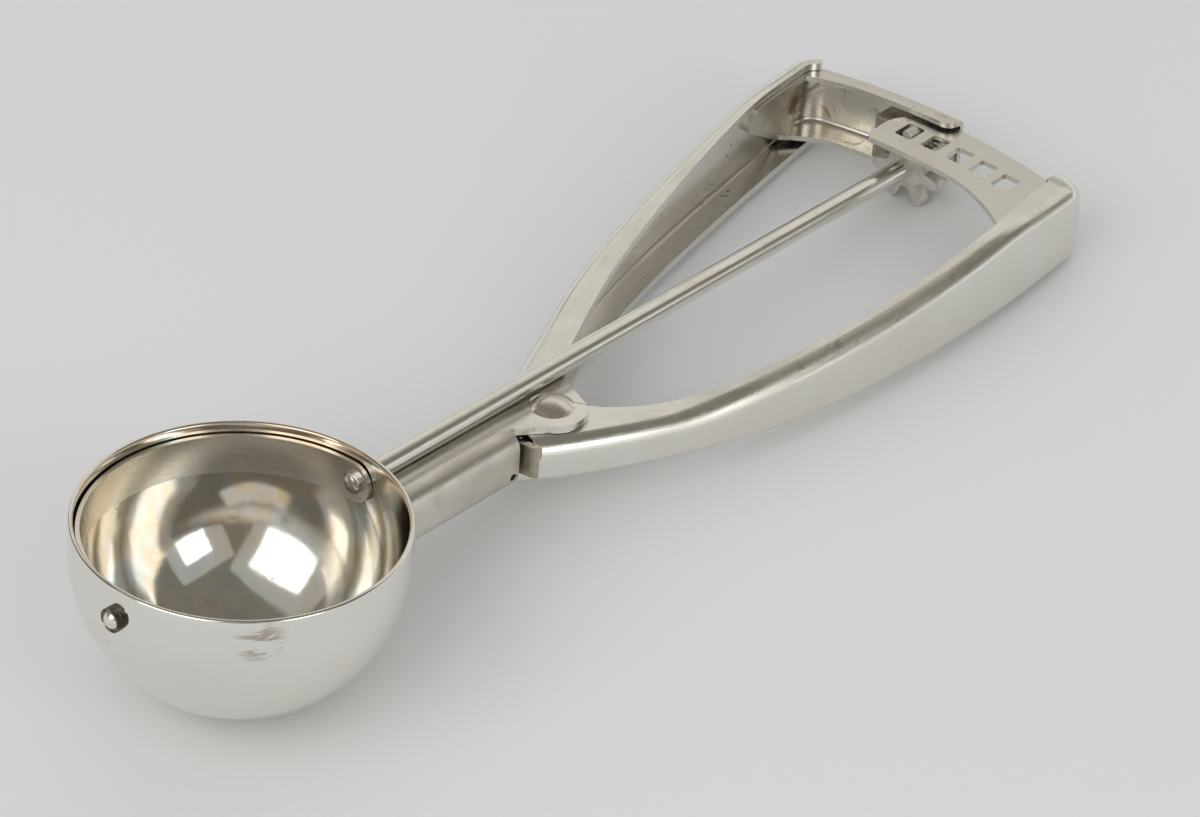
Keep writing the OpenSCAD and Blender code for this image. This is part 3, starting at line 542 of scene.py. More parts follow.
def sheetSide(n, topW, lowW, rTop, rLow, off, steps):
    # one face of a bent sheet for n stations at once, from the top's free edge over the shoulder, down the web
    # and out along the bottom: the distance in from the web, the height over the top and over the bottom, and
    # the share of the bottom in each point. A bend is (off + r (1 + cos a), off + r (1 - |sin a|)).
    topW, lowW, r1, r2 = (np.asarray(q, float) * np.ones(n) for q in (topW, lowW, rTop, rLow))
    if off:
        r1, r2 = np.maximum(r1 - off, steps["least"]), np.maximum(r2 - off, steps["least"])
    flat = steps["flat"]
    ease = (1 - np.cos(np.pi * np.linspace(0, 1, flat + 1))) / 2
    a = np.radians(np.linspace(90, 180, steps["shoulder"] + 1))
    b = np.radians(np.linspace(180, 270, steps["corner"] + 1))
    w = (1 - np.cos(np.pi * np.linspace(0, 1, steps["web"] + 2)[1:-1])) / 2
    x = np.concatenate([mix(topW[:, None], (off + r1)[:, None], ease[None, :-1]),
                        off + r1[:, None] * (1 + np.cos(a)), np.full((n, len(w)), float(off)),
                        off + r2[:, None] * (1 + np.cos(b)),
                        mix((off + r2)[:, None], lowW[:, None], ease[None, 1:])], 1)
    yTop = np.concatenate([np.full((n, flat), -float(off)), -off - r1[:, None] * (1 - np.sin(a)),
                           np.repeat((-off - r1)[:, None], len(w), 1), np.zeros((n, len(b) + flat))], 1)
    yLow = np.concatenate([np.zeros((n, flat + len(a))), np.repeat((off + r2)[:, None], len(w), 1),
                           off + r2[:, None] * (1 + np.sin(b)), np.full((n, flat), float(off))], 1)
    return x, yTop, yLow, np.concatenate([np.zeros(flat + len(a)), w, np.ones(len(b) + flat)])


def sheetRings(web, inward, topEdge, lowEdge, topZ, lowZ, rTop, rLow, thick, steps=handleSteps):
    # closed sections of a bent sheet carried along its web: p = (1 - s) (web + dTop x, topZ + yTop)
    # + s (web + dLow x, lowZ + yLow), where dTop and dLow point from the web to the two free edges. Within the
    # bends x is stretched by 1 / (d . inward), so that the sheet keeps its thickness.
    topWay, lowWay = unit(topEdge - web), unit(lowEdge - web)
    topSkew, lowSkew = 1 / np.sum(topWay * inward, 1), 1 / np.sum(lowWay * inward, 1)
    topW, lowW = np.linalg.norm(topEdge - web, axis=1), np.linalg.norm(lowEdge - web, axis=1)
    faces = []
    for off in (0.0, thick):
        x, yTop, yLow, share = sheetSide(len(web), topW / topSkew, lowW / lowSkew, rTop, rLow, off, steps)
        top = web[:, None] + topWay[:, None] * (x * topSkew[:, None])[..., None]
        low = web[:, None] + lowWay[:, None] * (x * lowSkew[:, None])[..., None]
        high = topZ(top[..., 0]) if callable(topZ) else topZ[:, None]
        deep = lowZ(low[..., 0]) if callable(lowZ) else lowZ[:, None]
        z = mix(high + yTop, deep + yLow, share[None, :])
        faces.append(np.concatenate([mix(top, low, share[None, :, None]), z[..., None]], 2))
    return np.concatenate([faces[0], faces[1][:, ::-1]], 1)


# both handles rise from the neck's level to the bracket's over the same stretch
riseShape = {"topFrom": 85.0, "topTo": 167.0, "topBlend": 10.0, "lowFrom": 98.0, "lowTo": 186.2, "lowBlend": 14.0}


def rise(x, low, high, edge, s=riseShape):
    # low before the rise and high after it, along the ramp of the top or the low edge
    start = s[edge + "From"]
    return mix(low, high, ramp(x - start, s[edge + "To"] - start, s[edge + "Blend"]))


fixedShape = {
    "sheet": 1.5, "neckTop": -2.3, "neckLow": -13.3, "neckSide": 5.5, "seamSide": 8.2, "neckRound": 2.3,
    "foldOver": 0.8, "neckStart": 24.0, "neckEnd": 60.0, "earR": 6.5, "earFrom": 216, "earTipR": 2.6, "earTipAt": 318,
    "earRoot": (12.5, 8.7), "earTurn": 8, "earBow": (-0.99, 0.484), "bendX": 72.9, "bendR": 15.0, "bendShare": 0.75,
    "rootAngle": 26.4, "tipAngle": 6.1, "top": 10.4, "low": -5.9206, "shoulder": 3.0, "lowCorner": 1.0,
    "shoulderRun": 20, "rootW": 7.0, "tipW": 3.9, "lowW": 6.6, "taper": (14, 76, 20), "endTurn": 32.0, "endR": 7.1,
    "pull": (25.038, 69.015), "crowd": 0.85, "cornerAngle": 15.0, "armR": 115.9, "armBendR": 5.5, "inBall": 28.2,
    "earSteps": (10, 36, 6), "bendSteps": 13, "curveSteps": 91, "endSteps": 29, "widenBy": (1 / 15, 4 / 15),
    "bevel": 0.18,
}
cornerCentre = pivot + polar(fixedShape["armR"] - fixedShape["armBendR"], fixedShape["cornerAngle"])


def seamLine(s):
    # where the neck's two sides meet
    return s["neckRound"] - s["seamSide"] + s["foldOver"]


def fixedStations(s):
    # web, inward way and the two free edges: along the neck, past the ear, round a bend, along a Bezier curve and
    # round the end
    seamY = seamLine(s)
    run = s["bendR"] * math.tan(math.radians(s["rootAngle"] / 2))
    bendC = np.array([s["bendX"] - run, s["neckSide"] + s["bendR"]])
    start = bendC + polar(s["bendR"], s["rootAngle"] - 90)
    end = cornerCentre + polar(s["endR"], 90 + s["tipAngle"])
    curve = [start, start + polar(s["pull"][0], s["rootAngle"]), end - polar(s["pull"][1], s["tipAngle"]), end]
    # the ear: from the seam to its circle, round it, round the small tip and on to its root
    tipC, root = pivot + polar(s["earR"] - s["earTipR"], s["earTipAt"]), pivot + s["earRoot"]
    leave = -math.degrees(math.atan2(root[0] - tipC[0], root[1] - tipC[1])) - s["earTurn"]
    toEar, roundEar, roundTip = s["earSteps"]
    ear = np.concatenate([densePath([[s["neckEnd"], seamY], pivot + polar(s["earR"], s["earFrom"])], toEar),
                          pivot + polar(s["earR"], np.linspace(s["earFrom"] + 2, s["earTipAt"] - 2, roundEar)),
                          tipC + polar(s["earTipR"], np.linspace(s["earTipAt"] - 360, leave, roundTip))])
    # the web's point moves on evenly with the length of the ear's edge
    along = lengths(ear)
    neckX = np.concatenate([np.linspace(s["neckStart"], s["neckEnd"] - 12, 12),
                            np.linspace(s["neckEnd"] - 11, s["neckEnd"] - 1.2, 8)])
    x = np.concatenate([neckX, mix(s["neckEnd"] - 0.7, s["bendX"] - run - 0.3, along / along[-1])])
    web = [pairs(x, s["neckSide"])]
    way = [np.tile([0.0, -1.0], (len(x), 1))]
    edge = [pairs(neckX, seamY), ear]
    # the bend, while the edge goes most of its way to the ear's root, bowed by 4 t (1 - t)
    t = np.linspace(0, s["bendShare"], s["bendSteps"])[1:]
    n = polar(1, s["rootAngle"] * t / s["bendShare"] - 90)
    web.append(bendC + s["bendR"] * n)
    way.append(n)
    bow = (4 * t * (1 - t))[:, None] * s["earBow"]
    edge.append(mix(tipC + polar(s["earTipR"], leave), root, t[:, None]) + bow)
    web, way, edge = np.concatenate(web), np.concatenate(way), np.concatenate(edge)
    lowW = np.linalg.norm(edge - web, axis=1)
    # the long curve, which takes its own edges over in its first fifteenth above and in four fifteenths below
    k = np.linspace(0, 1, s["curveSteps"])[1:]
    t = k ** s["crowd"]
    p, n = bezier(curve, t), rightOf(bezierWay(curve, t))
    taperFrom, *taper = s["taper"]
    width = mix(s["rootW"], s["tipW"], ramp(p[:, 0] - pivot[0] - taperFrom, *taper))
    early, later = (np.minimum(k / share, 1) for share in s["widenBy"])
    side = mix(edge[-1], p + width[:, None] * n, smooth(early)[:, None])
    under = mix(lowW[-1], mix(width, s["lowW"], later), early)
    # the rounded end
    q = polar(1, np.linspace(90 + s["tipAngle"], s["endTurn"], s["endSteps"])[1:])
    return (np.concatenate([web, p, cornerCentre + s["endR"] * q]), np.concatenate([way, n, -q]),
            np.concatenate([edge, side, cornerCentre + (s["endR"] - s["tipW"]) * q]),
            np.concatenate([lowW, under, np.full(len(q), s["lowW"])]))


def fixedRings(s):
    # the sheet over the stations: its heights rise along x, and the neck's round turns into the handle's shoulder
    web, way, edge, lowW = fixedStations(s)
    toLow = web + unit(edge - web) * lowW[:, None]
    ease = ramp(web[:, 0] - s["bendX"], s["shoulderRun"], s["shoulderRun"] / 3)
    rTop, rLow = mix(s["neckRound"], s["shoulder"], ease), mix(s["neckRound"], s["lowCorner"], ease)
    rings = sheetRings(web, way, edge, toLow, lambda x: rise(x, s["neckTop"], s["top"], "top"),
                       lambda x: rise(x, s["neckLow"], s["low"], "low"), rTop, rLow, s["sheet"])
    # the neck starts within the ball's wall, x^2 = R^2 - y^2 - z^2, and is even from its 13th ring on
    first = np.sqrt(s["inBall"] ** 2 - rings[0, :, 1] ** 2 - rings[0, :, 2] ** 2)
    rings[:12, :, 0] = mix(first, rings[12, :, 0], np.arange(12)[:, None] / 12)
    return rings


handleNickel = nickelFinish("handleNickel", rough=0.17, cloud=55, wear=0.6, scratch=0.45, pits=0.8)
addPiece("fixedHandle", sheetMesh("fixedHandle", fixedRings(fixedShape)), "frame", ["fixed_handle"],
         handleNickel, fixedShape["bevel"])

foldShape = {"slit": 0.3, "slitLong": 3.0, "relief": 1.4, "steps": 8, "side": 9, "along": 24, "cut": (-12.0, -6.2)}


def foldRings(s, f):
    # the rolled side of the neck: a C of a rounded rectangle, carried along x from the ball's wall
    seamY = seamLine(s)
    a = np.linspace(90, 180, f["steps"] + 1)
    faces = []
    for off in (0.0, s["sheet"]):
        r = s["neckRound"] + s["foldOver"] - off
        y, top, low = off - s["seamSide"], s["neckTop"] - off, s["neckLow"] + off
        z = np.linspace(top - r, low + r, f["side"])[1:-1]
        faces.append(np.concatenate([[[seamY, top]], [y + r, top - r] + polar(r, a), pairs(y, z),
                                     [y + r, low + r] + polar(r, a + 90), [[seamY, low]]]))
    ring = np.concatenate([faces[0], faces[1][::-1]])
    start = np.sqrt(s["inBall"] ** 2 - ring[:, 0] ** 2 - ring[:, 1] ** 2)
    x = mix(start, s["neckEnd"], np.linspace(0, 1, f["along"])[:, None])
    return np.stack(np.broadcast_arrays(x, ring[:, 0], ring[:, 1]), -1)


foldMesh = sheetMesh("neckFold", foldRings(fixedShape, foldShape))
# a round relief hole and a slit from it to the neck's end, each cut by an outline in x and z pushed along y
holeR = foldShape["relief"] / 2
holeAt = [fixedShape["neckEnd"] - foldShape["relief"], fixedShape["neckLow"] + fixedShape["neckRound"] + holeR]
hole = polar(holeR, np.linspace(0, 360, 25)[:-1])
slit = np.array([[0, -1], [1, -1], [1, 1], [0, 1]]) * [foldShape["slitLong"], foldShape["slit"] / 2]
for outline in (hole + holeAt, slit + holeAt):
    ends = [np.insert(outline, 1, y, axis=1) for y in foldShape["cut"]]
    foldMesh = cutAway(foldMesh, tubeMesh("cutter", np.array(ends)))
neckNickel = nickelFinish("neckNickel", light=(0.74, 0.715, 0.65), warm=(0.54, 0.50, 0.42), rough=0.24, cloud=80,
                          wear=1.2, scratch=0.9, onMap=False)
addPiece("neckFold", foldMesh, "frame", [], neckNickel)
print("fixed handle done")

leverShape = {
    "sheet": 1.5, "top": -3.9, "bottom": -11.7, "endTop": 8.8, "low": -5.6, "from": (62.2, -10.8), "rootAngle": 32.6,
    "tipAngle": 4.7, "pull": (19.26, 60.4015), "endC": (180.205, -28.9764), "endR": 7.2, "shoulder": 3.2,
    "lowCorner": 1.0, "rootW": 8.2, "midW": 4.7, "lowW": 5.6, "earR": 5.2, "earTurn": (148, 12),
    "earRoot": (6.4, -2.6), "heelW": 6.6, "heelAngle": 78, "earShare": 0.2, "narrow": (5, 10), "widen": (85, 24, 11),
    "fall": 1.2, "rise": 2.6, "endEdge": 0.8, "worn": (42, 100, 4.0, 6.6), "curveSteps": 91, "endSteps": 33,
    "widenBy": 4 / 15, "bevel": 0.18,
}


def leverTopW(s, x):
    # mid + (root - mid) exp((pivot + 5 - x) / 10), then wider towards the end
    (near, fade), (far, *widen) = s["narrow"], s["widen"]
    return (s["midW"] + (s["rootW"] - s["midW"]) * np.exp((pivot[0] + near - x) / fade)
            + (s["endR"] - s["endEdge"] - s["midW"]) * ramp(x - pivot[0] - far, *widen))


def leverStations(s):
    # web, inward way and the two free edges: the heel, the hidden ears, the long curve and the rounded end
    endC, start = np.array(s["endC"]), np.array(s["from"])
    end = endC + polar(s["endR"], s["tipAngle"] - 90)
    curve = [start, start + polar(s["pull"][0], -s["rootAngle"]), end - polar(s["pull"][1], s["tipAngle"]), end]
    ears = [start + polar(s["heelW"], s["heelAngle"]), *(pivot + polar(s["earR"], np.linspace(*s["earTurn"], 8))),
            pivot + s["earRoot"]]
    ears = rounded(densePath(ears, 4), 2)
    # the ears take the curve's first share, and end one leg short of where the long part starts
    k = np.linspace(0, 1, s["curveSteps"])
    t = np.concatenate([s["earShare"] * np.arange(len(ears)) / (len(ears) + 3), mix(s["earShare"], 1.0, k)])
    p, n = bezier(curve, t), -rightOf(bezierWay(curve, t))
    long = p[len(ears):]
    width = leverTopW(s, long[:, 0])
    under = mix(width, s["lowW"], np.minimum(k / s["widenBy"], 1))
    q = polar(1, np.linspace(s["tipAngle"] - 90, 0, s["endSteps"])[1:])
    return (np.concatenate([p, endC + s["endR"] * q]), np.concatenate([n, -q]),
            np.concatenate([ears, long + width[:, None] * n[len(ears):], endC + s["endEdge"] * q]),
            np.concatenate([np.linalg.norm(ears - p[:len(ears)], axis=1), under, np.full(len(q), s["lowW"])]))


def leverRings(s):
    # the end's top falls and its bottom rises with the square of the way round it
    web, way, edge, lowW = leverStations(s)
    past = lambda x: np.maximum(0, (x - s["endC"][0]) / s["endR"]) ** 2
    return sheetRings(web, way, edge, web + unit(edge - web) * lowW[:, None],
                      lambda x: rise(x, s["top"], s["endTop"], "top") - s["fall"] * past(x),
                      lambda x: rise(x, s["bottom"], s["low"], "low") + s["rise"] * past(x),
                      s["shoulder"], s["lowCorner"], s["sheet"])


heelShape = {"r": 2.0, "in": 4.2, "lean": 0.22, "thick": 1.3, "low": -10.9, "high": -4.6, "turn": (14, 176),
             "round": 14, "straight": 8, "bevel": 0.12}


def heelRings(s, h):
    # the web turned in behind the lever's front edge: a quarter round and a straight run, as a plain wall
    centre = s["from"] + h["r"] * polar(1, 90 - s["rootAngle"])
    a = np.linspace(270 - s["rootAngle"] + h["turn"][0], h["turn"][1], h["round"])
    straight = np.linspace(0, h["in"], h["straight"])[1:, None] * [-h["lean"], 1.0]
    line = centre + np.concatenate([polar(h["r"], a), polar(h["r"], h["turn"][1]) + straight])
    out = np.concatenate([polar(1, a), np.tile([-1.0, -h["lean"]], (len(straight), 1))])
    back = line - h["thick"] * out
    corners = ((line, h["low"]), (line, h["high"]), (back, h["high"]), (back, h["low"]))
    return np.stack([np.insert(plan, 2, z, axis=1) for plan, z in corners], 1)


leverNickel = nickelFinish("leverNickel", rough=0.17, cloud=50, wear=0.6, scratch=0.5, worn=leverShape["worn"])
addPiece("movableHandle", sheetMesh("movableHandle", leverRings(leverShape)), "lever", ["movable_handle"],
         leverNickel, leverShape["bevel"])
# the heel is the lever's own nickel made darker: its darker light and warm colours are painted shade of the recess
# behind the lever's front edge, and its heavy scratches are wear
shadedHeelNickel = nickelFinish("shadedHeelNickel", light=(0.50, 0.45, 0.37), warm=(0.32, 0.27, 0.20), rough=0.2, cloud=160,
                          wear=1.2, scratch=0.8, onMap=False)
addPiece("leverHeel", sheetMesh("leverHeel", heelRings(leverShape, heelShape)), "lever", [],
         shadedHeelNickel, heelShape["bevel"])
print("movable handle done")

armShape = {
    "sheet": 1.0, "top": 8.8, "low": -3.9206, "topW": 4.3, "lowW": 6.7, "r": 115.9, "bendR": 5.5, "from": 0.2,
    "bendAngle": 15.0, "leg": 17.0, "legAngle": 6.1, "round": 1.75, "lowRound": 2.0, "legFlat": 6.0, "slant": 32.0,
    "legEndR": 3.5, "legTopW": 3.0, "pocket": (-0.74, 2.33), "pocketTurn": 4, "endR": 2.5, "endLow": 0.8,
    "floorTurn": 3, "floorPull": 0.6, "floorLeave": 50, "floorGap": (0.5, 0.15), "legLip": 0.12, "under": 0.1,
    "lowShare": 0.45, "lowLeast": 0.06, "steps": (60, 25, 41), "crowd": 1.4, "rust": (176.2, 27.5, 2.0), "bevel": 0.1,
}


def armStations(s):
    # web and edges along the arm's arc, round the corner and down the leg; the floor's edge follows its own
    # curve, an arc and then a Bezier curve to the leg
    a = s["from"] + (s["bendAngle"] - s["from"]) * np.linspace(0, 1, s["steps"][0]) ** s["crowd"]
    b = np.linspace(s["bendAngle"], 90 + s["legAngle"], s["steps"][1])[1:]
    d = np.linspace(0, s["leg"], s["steps"][2])[1:]
    arc, bend = len(a), len(a) + len(b)
    back, legN = -polar(1, s["legAngle"]), polar(1, 90 + s["legAngle"])
    web = np.concatenate([pivot + polar(s["r"], a), cornerCentre + polar(s["bendR"], b),
                          cornerCentre + s["bendR"] * legN + d[:, None] * back])
    way = np.concatenate([-polar(1, a), -polar(1, b), np.tile(-legN, (len(d), 1))])
    legAt = np.concatenate([np.zeros(bend), d])
    # the top flange: rounded off at the arm's end by R - sqrt(R^2 - (R - u)^2), and one point in the corner
    toEnd = np.maximum(s["endR"] - np.radians(a - s["from"]) * s["r"], 0)
    cornerCut = s["endR"] - np.sqrt(s["endR"] ** 2 - toEnd ** 2)
    topW = np.where(legAt > 0, s["legTopW"], s["topW"])
    topW[:arc] -= cornerCut
    topEdge = web + way * topW[:, None]
    pocket = cornerCentre + s["pocket"]
    turnIn = np.clip((a - s["bendAngle"] + s["pocketTurn"]) / s["pocketTurn"], 0, 1)[:, None]
    topEdge[:arc] = mix(topEdge[:arc], pocket, smooth(turnIn))
    topEdge[arc:bend] = pocket
    # the floor
    cornerFrom = s["bendAngle"] - s["floorTurn"]
    near = pivot + polar(s["r"] - s["lowW"], cornerFrom)
    far = (cornerCentre - (s["legFlat"] - s["floorGap"][0]) * polar(1, s["legAngle"])
           + (s["bendR"] - s["sheet"] - s["floorGap"][1]) * legN)
    pull = s["legFlat"] * s["floorPull"]
    curve = [near, near + polar(pull, cornerFrom + 90), far + polar(pull, s["legAngle"] - s["floorLeave"]), far]
    lowEdge = web + way * (s["sheet"] + s["legLip"])
    onArc = np.nonzero(a < cornerFrom)[0]
    lowEdge[onArc] = pivot + polar(s["r"] - s["lowW"] + cornerCut[onArc] * s["endLow"], a[onArc])
    turn = np.arange(len(onArc), bend + np.count_nonzero(d < s["legFlat"]))
    run = lengths(web[turn])
    lowEdge[turn] = bezier(curve, run / run[-1])
    # the heights: the leg's lower edge slants up and ends in a round
    slant = math.radians(s["slant"])
    endAt = s["leg"] - s["legEndR"]
    endZ = s["low"] + (endAt - s["legFlat"]) * math.tan(slant) + s["legEndR"] / math.cos(slant)
    slope = s["low"] + np.maximum(legAt - s["legFlat"], 0) * math.tan(slant)
    end = endZ - np.sqrt(np.maximum(s["legEndR"] ** 2 - (legAt - endAt) ** 2, 0))
    lowZ = np.where(legAt > endAt + s["legEndR"] * math.sin(slant), end, slope)
    topZ = rise(web[:, 0], fixedShape["neckTop"], fixedShape["top"], "top") - fixedShape["sheet"] - s["under"]
    rLow = np.clip((np.sum((lowEdge - web) * way, 1) - s["sheet"]) * s["lowShare"], s["lowLeast"], s["lowRound"])
    return web, way, topEdge, lowEdge, np.minimum(s["top"], topZ), lowZ, s["round"], rLow


armMesh = sheetMesh("armBracket", sheetRings(*armStations(armShape), armShape["sheet"], bracketSteps))
bracketNickel = nickelFinish("bracketNickel", light=(0.76, 0.735, 0.67), warm=(0.62, 0.57, 0.475), rough=0.2,
                             cloud=80, wear=0.9, scratch=0.4, stain=0.8, pits=0.3, rust=armShape["rust"])
addPiece("armBracket", armMesh, "frame", ["arm_bracket"], bracketNickel, armShape["bevel"])
print("bracket done")

starShape = {"teeth": 7, "first": 3.0, "tipR": 7.9, "thick": 2.2, "hubR": 4.3, "x": 177.859, "deep": 2.6,
             "soft": 0.35, "steps": 84, "join": 16}
starLook = {"grey": (0.76, 0.74, 0.69), "hollow": (0.58, 0.56, 0.50), "grain": (0.86, 0.84, 0.79), "rough": 0.42}


def castFinish(name, s):
    # matt grey with a coarse grain and darker hollows
    f = Finish(name)
    grain = f.noise(f.place, 1500.0, 5.0, 0.7)
    blotch = f.noise(f.place, 260.0, 3.0, 0.6)
    colour = f.blend(f.between(blotch, 0.35, 0.7), s["grey"], s["hollow"])
    colour = f.blend(f.between(grain, 0.55, 0.75) * 0.5, colour, s["grain"])
    return f.done(colour, s["rough"] + blotch * 0.2, f.bump(grain, 0.7, 0.00012), 0.85)


def starRings(s):
    # r(f) = (hub^16 + tooth^16)^(1/16): a tooth at angle d from its middle is w / sin d along its sides and
    # c cos d + sqrt(w^2 - c^2 sin^2 d) round its tip. The rings shrink towards both faces by a small round.
    w, c = s["thick"] / 2, s["tipR"] - s["thick"] / 2
    pitch = 2 * np.pi / s["teeth"]
    f = np.linspace(0, 2 * np.pi, s["teeth"] * s["steps"], endpoint=False)
    d = np.abs((f + pitch / 2) % pitch - pitch / 2)
    tip = c * np.cos(d) + np.sqrt(np.maximum(w * w - (c * np.sin(d)) ** 2, 0))
    side = w / np.maximum(np.sin(d), 1e-6)
    tooth = np.minimum(np.where(c * np.sin(d) <= w * np.cos(np.arcsin(w / c)), tip, side), s["tipR"])
    r = (s["hubR"] ** s["join"] + tooth ** s["join"]) ** (1 / s["join"])
    a = np.radians(np.linspace(0, 90, 6))
    sink, inset = s["soft"] * (1 - np.sin(a)), s["soft"] * (1 - np.cos(a))
    x = s["x"] - s["deep"] / 2 + np.concatenate([sink[::-1], s["deep"] - sink])
    rad = r[None] - np.concatenate([inset[::-1], inset])[:, None]
    # the wheel's first axis points down when its own angle is 0
    turn = f + np.radians(180 - s["first"])
    return np.stack([np.repeat(x[:, None], len(f), 1), rad * np.sin(turn), -rad * np.cos(turn)], -1)


def starMesh(name, rings):
    # the rings' tube, closed by a fan of triangles to the middle of each face
    count, around = rings.shape[:2]
    total, last = count * around, (count - 1) * around
    j, j2 = np.arange(around), (np.arange(around) + 1) % around
    near, far = np.stack([j, j2, 0 * j + total], -1), np.stack([last + j2, last + j, 0 * j + total + 1], -1)
    verts = np.concatenate([rings.reshape(-1, 3), [[rings[0, 0, 0], 0, 0], [rings[-1, 0, 0], 0, 0]]])
    return makeMesh(name, verts, gridFaces(count, around).tolist() + near.tolist() + far.tolist())


addPiece("starWheel", starMesh("starWheel", starRings(starShape)), "scraper", ["pinion"],
         castFinish("castStar", starLook))


def easedCopy(name, node, body, material, bevel):
    # a copy of a solid, merged and with its flat faces made whole, so that its edges can be eased
    mesh = frame["nodes"][node].data.copy()
    mesh.name = name
    addPiece(name, mended(mesh, True), body, [node], material, bevel)


bearingLook = {"steel": (0.66, 0.63, 0.56), "grime": (0.40, 0.35, 0.28), "groove": (0.30, 0.27, 0.22), "rough": 0.34}


def bearingFinish(name, s):
    # milled, with fine ridges both ways across its faces
    f = Finish(name)
    ridges, rungs = f.bands("Y", 420.0, 1.5), f.bands("Z", 300.0, 2.0)
    grime = f.noise(f.place, 300.0, 4.0, 0.6)
    colour = f.blend(f.between(grime, 0.42, 0.7), s["steel"], s["grime"])
    colour = f.blend(f.between(ridges * rungs, 0.1, 0.5, 0.5, 0.0), colour, s["groove"])
    return f.done(colour, s["rough"] + grime * 0.15, f.bump(ridges * 0.6 + rungs * 0.4, 0.6, 0.00012))


rackNickel = nickelFinish("rackNickel", light=(0.74, 0.72, 0.66), rough=0.24, cloud=90, wear=0.6, scratch=0.5,
                          onMap=False)
collarSteel = darkFinish("collarSteel", (0.06, 0.05, 0.04), (0.24, 0.21, 0.17))
easedCopy("rackPlate", "rack_plate", "lever", rackNickel, 0.13)
easedCopy("rodBearing", "rod_bearing", "frame", bearingFinish("bearingSteel", bearingLook), 0.25)
easedCopy("frontCollar", "front_collar", "frame", collarSteel, 0.08)
print("wheel, rack and bearing done")

rivetShape = {"r": 1.75, "headR": 4.05, "headH": 1.4, "tailH": 1.0, "top": -2.3, "low": -13.3, "dome": 14,
              "around": 72}


def domeLine(r, h, n):
    # a cap with its rim rolled under by a small round
    cap = capLine(r, h, n, 0.97)
    return np.concatenate([cap, [[cap[-1, 0] * 0.4, r], [0, r * 0.985]]])


def rivetProfile(s):
    # (z, radius): the head's dome, the straight shank and the tail's dome
    up, down = (domeLine(s["headR"], h, s["dome"]) for h in (s["headH"], s["tailH"]))
    return np.concatenate([up + [s["top"], 0], [[s["top"], s["r"]], [s["low"], s["r"]]],
                           (down * [-1, 1] + [s["low"], 0])[::-1]])


rivetNickel = nickelFinish("rivetNickel", light=(0.82, 0.79, 0.71), rough=0.13, cloud=160, wear=1.0, scratch=0.8,
                           onMap=False)
rivetMesh = turnedMesh("pivotRivet", rivetProfile(rivetShape), rivetShape["around"], "z", [*pivot, 0])
addPiece("pivotRivet", rivetMesh, "frame", ["pivot_rivet"], rivetNickel)

sleeveShape = {"outR": 2.5, "inR": 1.78, "low": -10.1, "high": -5.5, "soft": 0.12, "around": 48}


def sleeveProfile(s):
    # (z, radius) round the tube's wall, with its outer edges chamfered
    low, high, inR, outR, soft = (s[k] for k in ("low", "high", "inR", "outR", "soft"))
    return [[low, inR], [low, outR - soft], [low + soft, outR], [high - soft, outR], [high, outR - soft], [high, inR],
            [low, inR]]


sleeveMesh = turnedMesh("springSleeve", sleeveProfile(sleeveShape), sleeveShape["around"], "z", [*pivot, 0])
addPiece("springSleeve", sleeveMesh, "frame", ["spring_sleeve"],
         darkFinish("sleeveSteel", (0.33, 0.31, 0.28), (0.5, 0.48, 0.44)))

springShape = {"wire": 1.3, "coilR": 3.4, "from": 70.0, "turns": 2.13222, "low": -9.29256, "pitch": 1.4,
               "legIn": 16.0, "legOut": 13.0, "steps": 150, "legSteps": (13, 11), "around": 16}


def springLine(s):
    # a helix of radius c, with a straight leg off each end along the coil's own way
    t = np.linspace(0, 1, s["steps"])
    a = s["from"] - t * s["turns"] * 360
    coil = np.concatenate([pivot + polar(s["coilR"], a), (s["low"] + t * s["turns"] * s["pitch"])[:, None]], 1)
    way = np.concatenate([rightOf(polar(1, a)), np.zeros((s["steps"], 1))], 1)
    before, after = s["legSteps"]
    legIn = coil[0] - np.linspace(s["legIn"], 0, before + 1)[:-1, None] * way[0]
    legOut = coil[-1] + np.linspace(0, s["legOut"], after + 1)[1:, None] * way[-1]
    ways = [np.tile(way[0], (before, 1)), way, np.tile(way[-1], (after, 1))]
    return np.concatenate([legIn, coil, legOut]), np.concatenate(ways)


def wireRings(line, way, r, around):
    # circles square to the line: p + r (side cos f + up sin f)
    f = np.linspace(0, 2 * np.pi, around, endpoint=False)[:, None]
    side = unit(np.stack([-way[:, 1], way[:, 0], np.zeros(len(way))], -1))
    up = np.cross(way, side)
    return line[:, None] + r * (side[:, None] * np.cos(f) + up[:, None] * np.sin(f))


wire = wireRings(*springLine(springShape), springShape["wire"] / 2, springShape["around"])
addPiece("returnSpring", tubeMesh("returnSpring", wire), "frame", ["return_spring"],
         darkFinish("springSteel", (0.22, 0.21, 0.19), (0.42, 0.40, 0.36), 0.28))
print("rivet, sleeve and spring done")

stageLook = {"floor": (0.84, 0.84, 0.83), "half": 3.0, "rough": 0.75, "specular": 0.2}
floorMesh = bpy.data.meshes.new("floor")
corners = [(x * stageLook["half"], y * stageLook["half"], 0) for x, y in ((-1, -1), (1, -1), (1, 1), (-1, 1))]
floorMesh.from_pydata(corners, [], [(0, 1, 2, 3)])
floor = newObject("floor", floorMesh)
paleFloor = Finish("paleFloor")
paleFloor.feed(paleFloor.shader.inputs["Specular IOR Level"], stageLook["specular"])
floorMesh.materials.append(paleFloor.done(stageLook["floor"], stageLook["rough"], None, 0.0))

